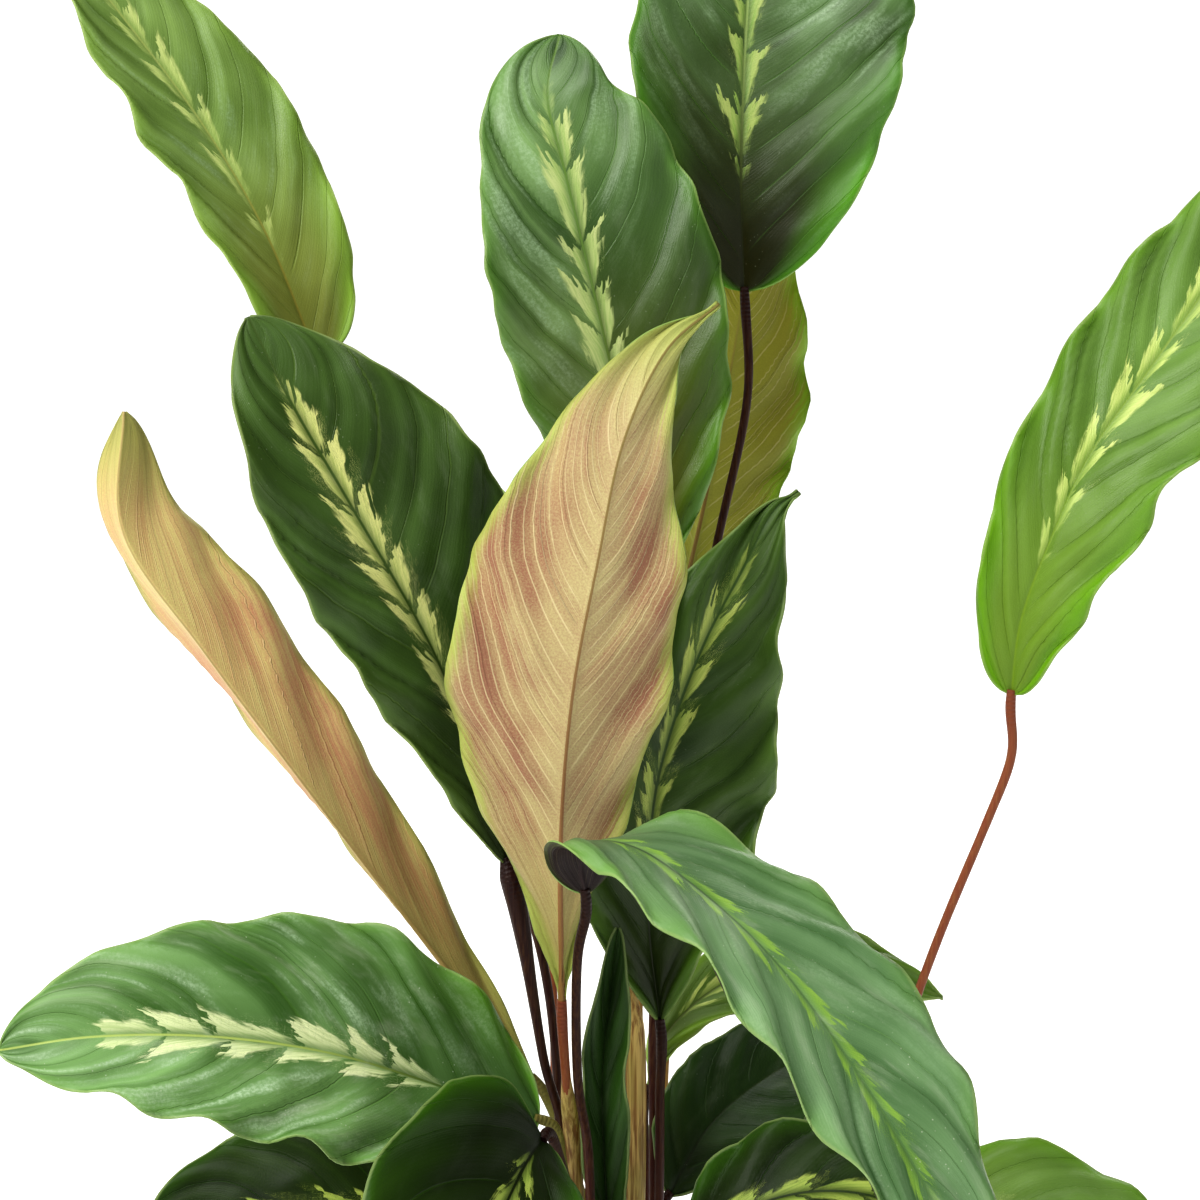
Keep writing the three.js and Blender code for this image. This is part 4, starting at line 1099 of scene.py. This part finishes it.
def stalk_path(leaf):
    """Points along a stalk, straight into the soil and square onto the midrib, and the stalk's length."""
    points = [Vector(p) for p in leaf["stalk"]]
    rib = [Vector(p) for p in leaf["rib"]]
    foot = points[0] - (points[1] - points[0]).normalized() * FOOT_DEPTH
    ahead = (curve_point(rib, 0.001) - rib[0]).normalized()
    ends = [rib[0] - ahead * NECK_LENGTH, rib[0] + ahead * NECK_OVERLAP]
    points, length = walk_curve([foot, *points, *ends], STALK_POINTS)

    # Each point moves toward its neighbours a few times, so that tight turns become round
    for _ in range(EASING_ROUNDS):
        middle = [(a + 2 * b + c) / 4 for a, b, c in zip(points, points[1:], points[2:])]
        points = [points[0], *middle, points[-1]]
    return points, length


def stalk(leaf):
    points, length = stalk_path(leaf)
    walked = [length * k / (STALK_POINTS - 1) * MM for k in range(STALK_POINTS)]
    base = chain(points, {"walked": walked, "to_blade": [length * MM - w for w in walked]})
    knee_radius, knee_length = LONG_KNEES.get(leaf["name"], KNEE)
    made = grow("petiole_" + leaf["name"], base, STALK_TREE, {
        "Knee radius": knee_radius * MM,
        "Knee length": knee_length * MM,
        "Skin": SKINS[leaf["stem"]],
    })
    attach(made, "root")
    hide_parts("stalk_" + leaf["name"])
    return made


stalks = [stalk(leaf) for leaf in LEAVES]
print("stalks:", len(stalks), "with", sum(len(s.data.polygons) for s in stalks), "faces")

# %% [markdown]
# ## Sheaths
#
# The foot of each stalk is wrapped in a flattened sheath, ribbed along its length, which clasps the younger
# stalks. A tube with a ribbed, oval profile along the lowest part of each stalk gives it, and a lip closes it
# at the top.

# %% The tree that makes a sheath
SHEATH_FOOT = 98
SHEATH_FOOT_RADIUS = 3.0
SHEATH_TOP_RADIUS = 2.3
SHEATH_FLATNESS = 0.72
SHEATH_RIBS = 11
SHEATH_TURN = 2.4
TALL_SHEATHS = {"high_centre": (150, 4.4), "centre_underside": (136, 2.1), "high_left": (62, 2.7)}


def sheath_tree():
    tree, given = new_tree("Sheath", "Top radius, Turn", materials="Skin")
    ribbed = {"Points": SHEATH_RIBS, "Inner Radius": 0.93, "Outer Radius": 1.0}
    star = out_of(add_node(tree, "GeometryNodeCurveStar", ribbed))
    flat = then(star, "GeometryNodeTransform", {"Scale": (1.0, SHEATH_FLATNESS, 1.0)})
    turned = then(flat, "GeometryNodeTransform", {"Rotation": joined(0.0, 0.0, given["Turn"])})
    share = named(tree, "share")
    foot_radius = SHEATH_FOOT_RADIUS * MM
    radius = (given["Top radius"] - foot_radius) * share + foot_radius
    radius = radius * (1 - rise(share, 0.9, 1.0) * 0.45) * ((noise(share * 5) - 0.5) * 0.16 + 1)
    finish_tube(given, turned, radius)
    return tree


SHEATH_TREE = sheath_tree()
print("nodes in the sheath's tree:", len(SHEATH_TREE.nodes))

# %% The sheaths' skin, and the sheaths
def sheath_skin():
    material, tree, surface = new_material("sheath", 0.5, 0.35)
    share = attribute(tree, "share", "Fac")
    x, y, z = parts(object_place(tree))
    streaks = noise(joined(x * 1.1, y * 1.1, z * 0.02), 3.0, 0.6)
    patch = noise(joined(x * 0.12, y * 0.12, z * 0.04), 2.0)
    dry = (1 - rise(share, 0.0, 0.3)) * 0.7 + rise(share, 0.9, 1.0) * 0.5
    colour = layered(
        mixed(rise(streaks, 0.38, 0.62), paint(132, 92, 46), paint(208, 180, 108)),
        (rise(streaks, 0.6, 0.72) * 0.4, paint(92, 56, 36)),
        (rise(patch, 0.45, 0.7) * 0.5, paint(148, 142, 66)),
        (dry, paint(112, 78, 48)),
    )
    dress(surface, colour, streaks * 0.4)
    return material


SHEATH_SKIN = sheath_skin()


def sheath(leaf, number):
    height, top_radius = TALL_SHEATHS.get(leaf["name"], (34 + 5 * (number * 7 % 5), SHEATH_TOP_RADIUS))
    points = [p for p in stalk_path(leaf)[0] if p.z > SHEATH_FOOT]
    points = [p for p, walked in zip(points, lengths_along(points)) if walked < height]
    base = chain(points, {"share": [k / (len(points) - 1) for k in range(len(points))]})
    made = grow("sheath_" + leaf["name"], base, SHEATH_TREE, {
        "Top radius": top_radius * MM,
        "Turn": number * SHEATH_TURN,
        "Skin": SHEATH_SKIN,
    })
    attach(made, "root")
    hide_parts("stalk_" + leaf["name"])
    return made


sheaths = [sheath(leaf, number) for number, leaf in enumerate(LEAVES)]
print("sheaths:", len(sheaths), "with", sum(len(s.data.polygons) for s in sheaths), "faces")

# %% [markdown]
# ## The pot
#
# A plain clay pot is turned, so its wall is one outline spun about its axis. Clay has no sharp edge: each
# corner of the outline is rounded with a short arc before it is spun. Four drain holes are cut out of the
# base. The outline's radius also drifts by a fraction of a millimetre round the pot, as on a pot pressed from
# wet clay.

# %% Spin an outline
def rounded(corners, radius, steps=5):
    """The outline with an arc at each corner, in place of the corner."""
    corners = [Vector(c) for c in corners]
    result = [corners[0]]
    for before, corner, after in zip(corners, corners[1:], corners[2:]):
        cut = min(radius, (before - corner).length * 0.45, (after - corner).length * 0.45)
        start = corner + (before - corner).normalized() * cut
        end = corner + (after - corner).normalized() * cut
        for k in range(steps + 1):
            share = k / steps
            result.append(start.lerp(corner, share).lerp(corner.lerp(end, share), share))
    return [*result, corners[-1]]


def spun(name, outline, segments, uneven=lambda radius, height, angle: (radius, height)):
    """A closed mesh from an outline of radius and height that starts and ends on the axis, in millimetres."""
    points = []
    rings = []
    for radius, height in outline:
        count = segments if radius > 1e-6 else 1
        rings.append([len(points) + k % count for k in range(segments)])
        for k in range(count):
            angle = math.tau * k / segments
            r, z = uneven(radius, height, angle) if count > 1 else (radius, height)
            points.append((r * MM * math.cos(angle), r * MM * math.sin(angle), z * MM))
    faces = []
    for low, high in zip(rings, rings[1:]):
        for k in range(segments):
            n = (k + 1) % segments
            corners = [low[k], low[n], high[n], high[k]]
            faces.append(list(dict.fromkeys(corners)))
    mesh = bpy.data.meshes.new(name)
    mesh.from_pydata(points, [], faces)
    mesh.polygons.foreach_set("use_smooth", [True] * len(faces))
    return new_object(name, mesh)


print("ready to spin")

# %% The pot's mesh
POT_HEIGHT = 118.0
POT_FOOT_RADIUS = 47.0
POT_RIM_RADIUS = 70.0
POT_WALL = 5.0
POT_BASE = 8.0
POT_CORNER_RADIUS = 1.8
POT_SEGMENTS = 160
RIM_BAND_HEIGHT = 24.0
RIM_BAND_STEP = 4.0
DRAIN_HOLES = 4
DRAIN_RADIUS = 5.0
DRAIN_CIRCLE = 24.0
DRAIN_CUT = 20
DRAIN_SEGMENTS = 32


def inside_radius(height):
    share = height / POT_HEIGHT
    return POT_FOOT_RADIUS + (POT_RIM_RADIUS - RIM_BAND_STEP - POT_FOOT_RADIUS) * share - POT_WALL


def drifting(radius, height, angle):
    """The radius as it wanders round the pot, by a fraction of a millimetre."""
    return radius + 0.25 * math.sin(2 * angle + 0.7) + 0.12 * math.sin(5 * angle + height * 0.05), height


def pot():
    band_foot = POT_HEIGHT - RIM_BAND_HEIGHT
    outside = inside_radius(band_foot) + POT_WALL
    wall_shape = [
        (0, 0), (POT_FOOT_RADIUS, 0), (outside, band_foot), (outside + RIM_BAND_STEP, band_foot),
        (POT_RIM_RADIUS, POT_HEIGHT), (inside_radius(POT_HEIGHT), POT_HEIGHT),
        (inside_radius(POT_BASE), POT_BASE), (0, POT_BASE),
    ]
    made = spun("clay_pot", rounded(wall_shape, POT_CORNER_RADIUS), POT_SEGMENTS, drifting)
    cutter = [(0, -DRAIN_CUT), (DRAIN_RADIUS, -DRAIN_CUT), (DRAIN_RADIUS, DRAIN_CUT), (0, DRAIN_CUT)]
    for k in range(DRAIN_HOLES):
        angle = math.tau * (k + 0.5) / DRAIN_HOLES
        hole = spun("hole", cutter, DRAIN_SEGMENTS)
        aside = (DRAIN_CIRCLE * MM * math.cos(angle), DRAIN_CIRCLE * MM * math.sin(angle), 0.0)
        hole.data.transform(Matrix.Translation(aside))
        cut = made.modifiers.new("hole", "BOOLEAN")
        cut.object = hole
        cut.operation = "DIFFERENCE"
        mesh = final_mesh(made)
        made.modifiers.clear()
        made.data = mesh
        bpy.data.objects.remove(hole)
    return made


clay_pot = pot()
print("pot faces:", len(clay_pot.data.polygons))

# %% [markdown]
# ## Unglazed clay
#
# Fired clay is never one flat orange. It is lighter where it dried first, darker where it is damp, specked
# with grog, ringed by faint lines from the mould, and pale with minerals where water has seeped through the
# wall. A few layers of noise in object coordinates give each of these at its own scale.

# %% Clay
def clay():
    material, tree, surface = new_material("clay", 0.85, 0.3)
    place = object_place(tree)
    x, y, z = parts(place)
    cloud = noise(times(place, 0.03), 4.0, 0.6)
    mottle = noise(times(place, 0.16), 5.0, 0.65)
    grain = noise(times(place, 1.4), 3.0, 0.7)
    damp = (1 - rise(z + mottle * 30, 18, 52)) * 0.35
    seep = noise(joined(x * 0.035, y * 0.035, z * 0.055), 5.0, 0.62)
    bloom = rise(seep, 0.52, 0.72) * rise(mottle, 0.3, 0.6) * (rise(z, 15, 60) * 0.5 + 0.2)
    under_band = bell(z - 90.0, 7.0) * rise(mottle, 0.4, 0.7) * 0.6
    worn = bell(z - 117.5, 1.4) * rise(mottle, 0.4, 0.65) * 0.6
    colour = layered(
        mixed(rise(cloud, 0.3, 0.7), paint(160, 96, 68), paint(188, 124, 92)),
        (rise(mottle, 0.45, 0.75) * 0.5, paint(140, 82, 58)),
        (rise(grain, 0.6, 0.78) * 0.35, paint(216, 172, 142)),
        ((1 - rise(grain, 0.22, 0.36)) * 0.45, paint(112, 62, 44)),
        (damp, paint(120, 66, 44)),
        (held(bloom + under_band, 0, 0.8), paint(222, 204, 188)),
        (worn, paint(226, 172, 138)),
    )
    rings = sine(z * 2.6 + cloud * 4)
    pits = (1 - rise(noise(times(place, 0.7), 2.0), 0.26, 0.34)) * -0.5
    dress(surface, colour, grain * 0.25 + rings * 0.05 + mottle * 0.3 + pits, mottle * 0.2 + 0.72)
    return material


clay_pot.data.materials.append(clay())
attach(clay_pot, "root")
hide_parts("pot")
print("the pot's material:", clay_pot.data.materials[0].name)

# %% [markdown]
# ## The soil
#
# Potting soil is dark, damp and lumpy. The bed itself is a turned body like the pot's, with a low mound, and
# its top is pushed up and down by noise. What makes it read as soil from close by is what lies loose on it:
# crumbs, chips of bark and white grains of perlite. A tree scatters those over the top.

# %% The bed of soil
SOIL_LEVEL = 105.0
SOIL_RADIUS = 57.0
SOIL_MOUND = 3.0
SOIL_GAP = 0.3
SOIL_RINGS = 34
SOIL_SEGMENTS = 120


def soil_height(x, y):
    radius = min(math.hypot(x, y) / SOIL_RADIUS, 1.0)
    mound = (SOIL_MOUND + 2) * math.cos(radius * math.pi / 2) - 2
    broad_lumps = hills.noise(Vector((x * 0.08, y * 0.08, 3.0))) * 1.5
    small_lumps = hills.noise(Vector((x * 0.3, y * 0.3, 8.0))) * 0.7
    return SOIL_LEVEL + mound + (broad_lumps + small_lumps) - 0.6


def lumpy(radius, height, angle):
    """Raises the bed's top to the soil's height, and leaves its wall."""
    if height < SOIL_LEVEL:
        return radius, height
    return radius, soil_height(radius * math.cos(angle), radius * math.sin(angle))


def soil_bed():
    bottom = POT_BASE + SOIL_GAP
    edge = inside_radius(SOIL_LEVEL - 2) - SOIL_GAP
    outline = [(0, bottom), (inside_radius(bottom) - SOIL_GAP, bottom), (edge, SOIL_LEVEL - 3.5)]
    outline += [(edge * (1 - k / SOIL_RINGS), SOIL_LEVEL) for k in range(1, SOIL_RINGS + 1)]
    made = spun("soil_bed", outline, SOIL_SEGMENTS, lumpy)
    made.data.vertices[-1].co.z = soil_height(0, 0) * MM
    return made


soil = soil_bed()
print("soil faces:", len(soil.data.polygons))

# %% Soil, bark and perlite
def earth(name, dark, light, scale, rough=0.95):
    material, tree, surface = new_material(name, rough, 0.25)
    place = object_place(tree)
    lumps = noise(times(place, scale), 4.0, 0.65)
    grain = noise(times(place, scale * 6), 3.0, 0.7)
    colour = mixed(rise(lumps, 0.3, 0.7), paint(*dark), paint(*light))
    colour = mixed(rise(grain, 0.55, 0.75) * 0.5, colour, paint(*light))
    dress(surface, colour, lumps * 0.6 + grain * 0.5, depth=0.5)
    return material


SOIL = earth("soil", (30, 21, 15), (66, 48, 35), 0.25)
BARK = earth("bark", (70, 44, 28), (132, 92, 62), 0.5)
PERLITE = earth("perlite", (196, 190, 178), (236, 232, 224), 0.7, rough=0.8)
soil.data.materials.append(SOIL)
print("earth:", SOIL.name, BARK.name, PERLITE.name)

# %% The tree that scatters the crumbs
CRUMBS = [
    # How many stand on a square metre, and each one's skin, fineness, radius, and least and greatest stretch
    (190000.0, SOIL, 1, 0.9, (0.5, 0.5, 0.4), (1.9, 1.9, 1.4)),
    (16000.0, BARK, 2, 1.0, (1.2, 0.6, 0.25), (4.2, 2.0, 0.7)),
    (14000.0, PERLITE, 2, 1.0, (0.6, 0.6, 0.5), (1.7, 1.6, 1.3)),
]
CRUMB_SEED = 4


def scatter_tree():
    tree, given = new_tree("Crumbs", "")
    everything = tree.nodes.new("GeometryNodeJoinGeometry")

    def random_vector(least, most):
        span = {"Min": least, "Max": most}
        return out_of(add_node(tree, "FunctionNodeRandomValue", span, data_type="FLOAT_VECTOR"))

    for number, (density, skin, fineness, radius, least, most) in enumerate(CRUMBS):
        ball = {"Radius": radius * MM, "Subdivisions": fineness}
        grain = out_of(add_node(tree, "GeometryNodeMeshIcoSphere", ball))
        spot = out_of(tree.nodes.new("GeometryNodeInputPosition"))
        uneven = add_node(tree, "ShaderNodeTexNoise", {"Vector": spot, "Scale": 900.0 + 100 * number})
        push = times(vector_calc("SUBTRACT", out_of(uneven, 1), (0.5, 0.5, 0.5)), 1.1 * MM)
        rough = then(grain, "GeometryNodeSetPosition", {"Offset": push})
        spread = then(given["Geometry"], "GeometryNodeDistributePointsOnFaces", {
            "Density": density, "Seed": CRUMB_SEED + number,
        })
        placed = then(spread, "GeometryNodeInstanceOnPoints", {
            "Instance": rough, "Scale": random_vector(least, most),
            "Rotation": random_vector((-0.5, -0.5, 0), (0.5, 0.5, math.tau)),
        })
        skinned = then(placed, "GeometryNodeSetMaterial", {"Material": skin})
        tree.links.new(skinned.socket, everything.inputs[0])
    finish_tree(out_of(everything))
    return tree


def soil_top():
    """The soil's upper face alone, as a sheet of small squares inside the pot."""
    edge = inside_radius(SOIL_LEVEL) - 1.5
    steps = 40
    row = steps + 1
    places = [edge * (2 * k / steps - 1) for k in range(row)]
    points = [(x, y, soil_height(x, y)) for y in places for x in places]
    starts = [j * row + i for j in range(steps) for i in range(steps)]
    squares = [(k, k + 1, k + row + 1, k + row) for k in starts]
    faces = [s for s in squares if all(math.hypot(*points[c][:2]) < edge for c in s)]
    mesh = bpy.data.meshes.new("soil top")
    mesh.from_pydata([Vector(p) * MM for p in points], [], faces)
    return mesh


crumbs = grow("soil_crumbs", soil_top(), scatter_tree(), {})
print("crumb faces:", len(crumbs.data.polygons))
for piece in (soil, crumbs):
    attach(piece, "root")
    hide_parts("soil")

# %% [markdown]
# ## Floor and light
#
# The photograph has a white ground and soft light from above and the left, which lays a pale sheen on the
# leaves that face it. A large lamp gives that sheen, a wide sun keeps the floor white into the distance, and
# a second lamp from behind lets the margins glow. The sky that the camera sees is white, and the sky that
# lights the plant is dimmer, so that the dark leaves stay dark.

# %% Floor
def floor():
    size = 30.0
    corners = [(-size, -size, 0), (size, -size, 0), (size, size, 0), (-size, size, 0)]
    mesh = bpy.data.meshes.new("floor")
    mesh.from_pydata(corners, [], [(0, 1, 2, 3)])
    material, _, surface = new_material("floor", 0.9, 0.1)
    surface.inputs["Base Color"].default_value = (0.92, 0.92, 0.92, 1.0)
    surface.inputs["Emission Color"].default_value = (1.0, 1.0, 1.0, 1.0)
    surface.inputs["Emission Strength"].default_value = 0.32
    mesh.materials.append(material)
    new_object("floor", mesh)
    print("floor", 2 * size, "m wide")


floor()

# %% Light
def light(name, kind, power, direction):
    made = new_object(name, bpy.data.lights.new(name, kind))
    made.data.energy = power
    made.rotation_euler = direction
    return made


def lamp(name, place, target, size, power, colour=(1.0, 1.0, 1.0)):
    made = light(name, "AREA", power, (Vector(target) - Vector(place)).to_track_quat("-Z", "Y").to_euler())
    made.location = place
    made.data.shape = "DISK"
    made.data.size = size
    made.data.color = colour


def sky(lighting, seen):
    world = bpy.data.worlds.new("sky")
    bpy.context.scene.world = world
    world.use_nodes = True
    tree = world.node_tree
    tree.nodes.clear()
    for_light = add_node(tree, "ShaderNodeBackground", {"Color": (1.0, 1.0, 0.98, 1.0), "Strength": lighting})
    for_eye = add_node(tree, "ShaderNodeBackground", {"Color": (1.0, 1.0, 1.0, 1.0), "Strength": seen})
    seen_directly = out_of(tree.nodes.new("ShaderNodeLightPath"), "Is Camera Ray")
    either = then(seen_directly, "ShaderNodeMixShader", {1: out_of(for_light), 2: out_of(for_eye)})
    add_node(tree, "ShaderNodeOutputWorld", {0: either})


plant_middle = (0.0, 0.0, 0.33)
lamp("key", (-1.0, -0.7, 1.2), plant_middle, 0.75, 15, (1.0, 0.99, 0.96))
lamp("fill", (1.3, -1.1, 0.6), plant_middle, 1.0, 1.5)
lamp("rim", (0.5, 1.2, 1.0), plant_middle, 0.8, 6, (1.0, 0.98, 0.92))
sun = light("sun", "SUN", 1.8, (math.radians(8), math.radians(-14), 0))
sun.data.angle = math.radians(35)
sky(0.18, 1.05)
settings = bpy.context.scene.view_settings
settings.view_transform = "Standard"
settings.look = "Medium High Contrast"
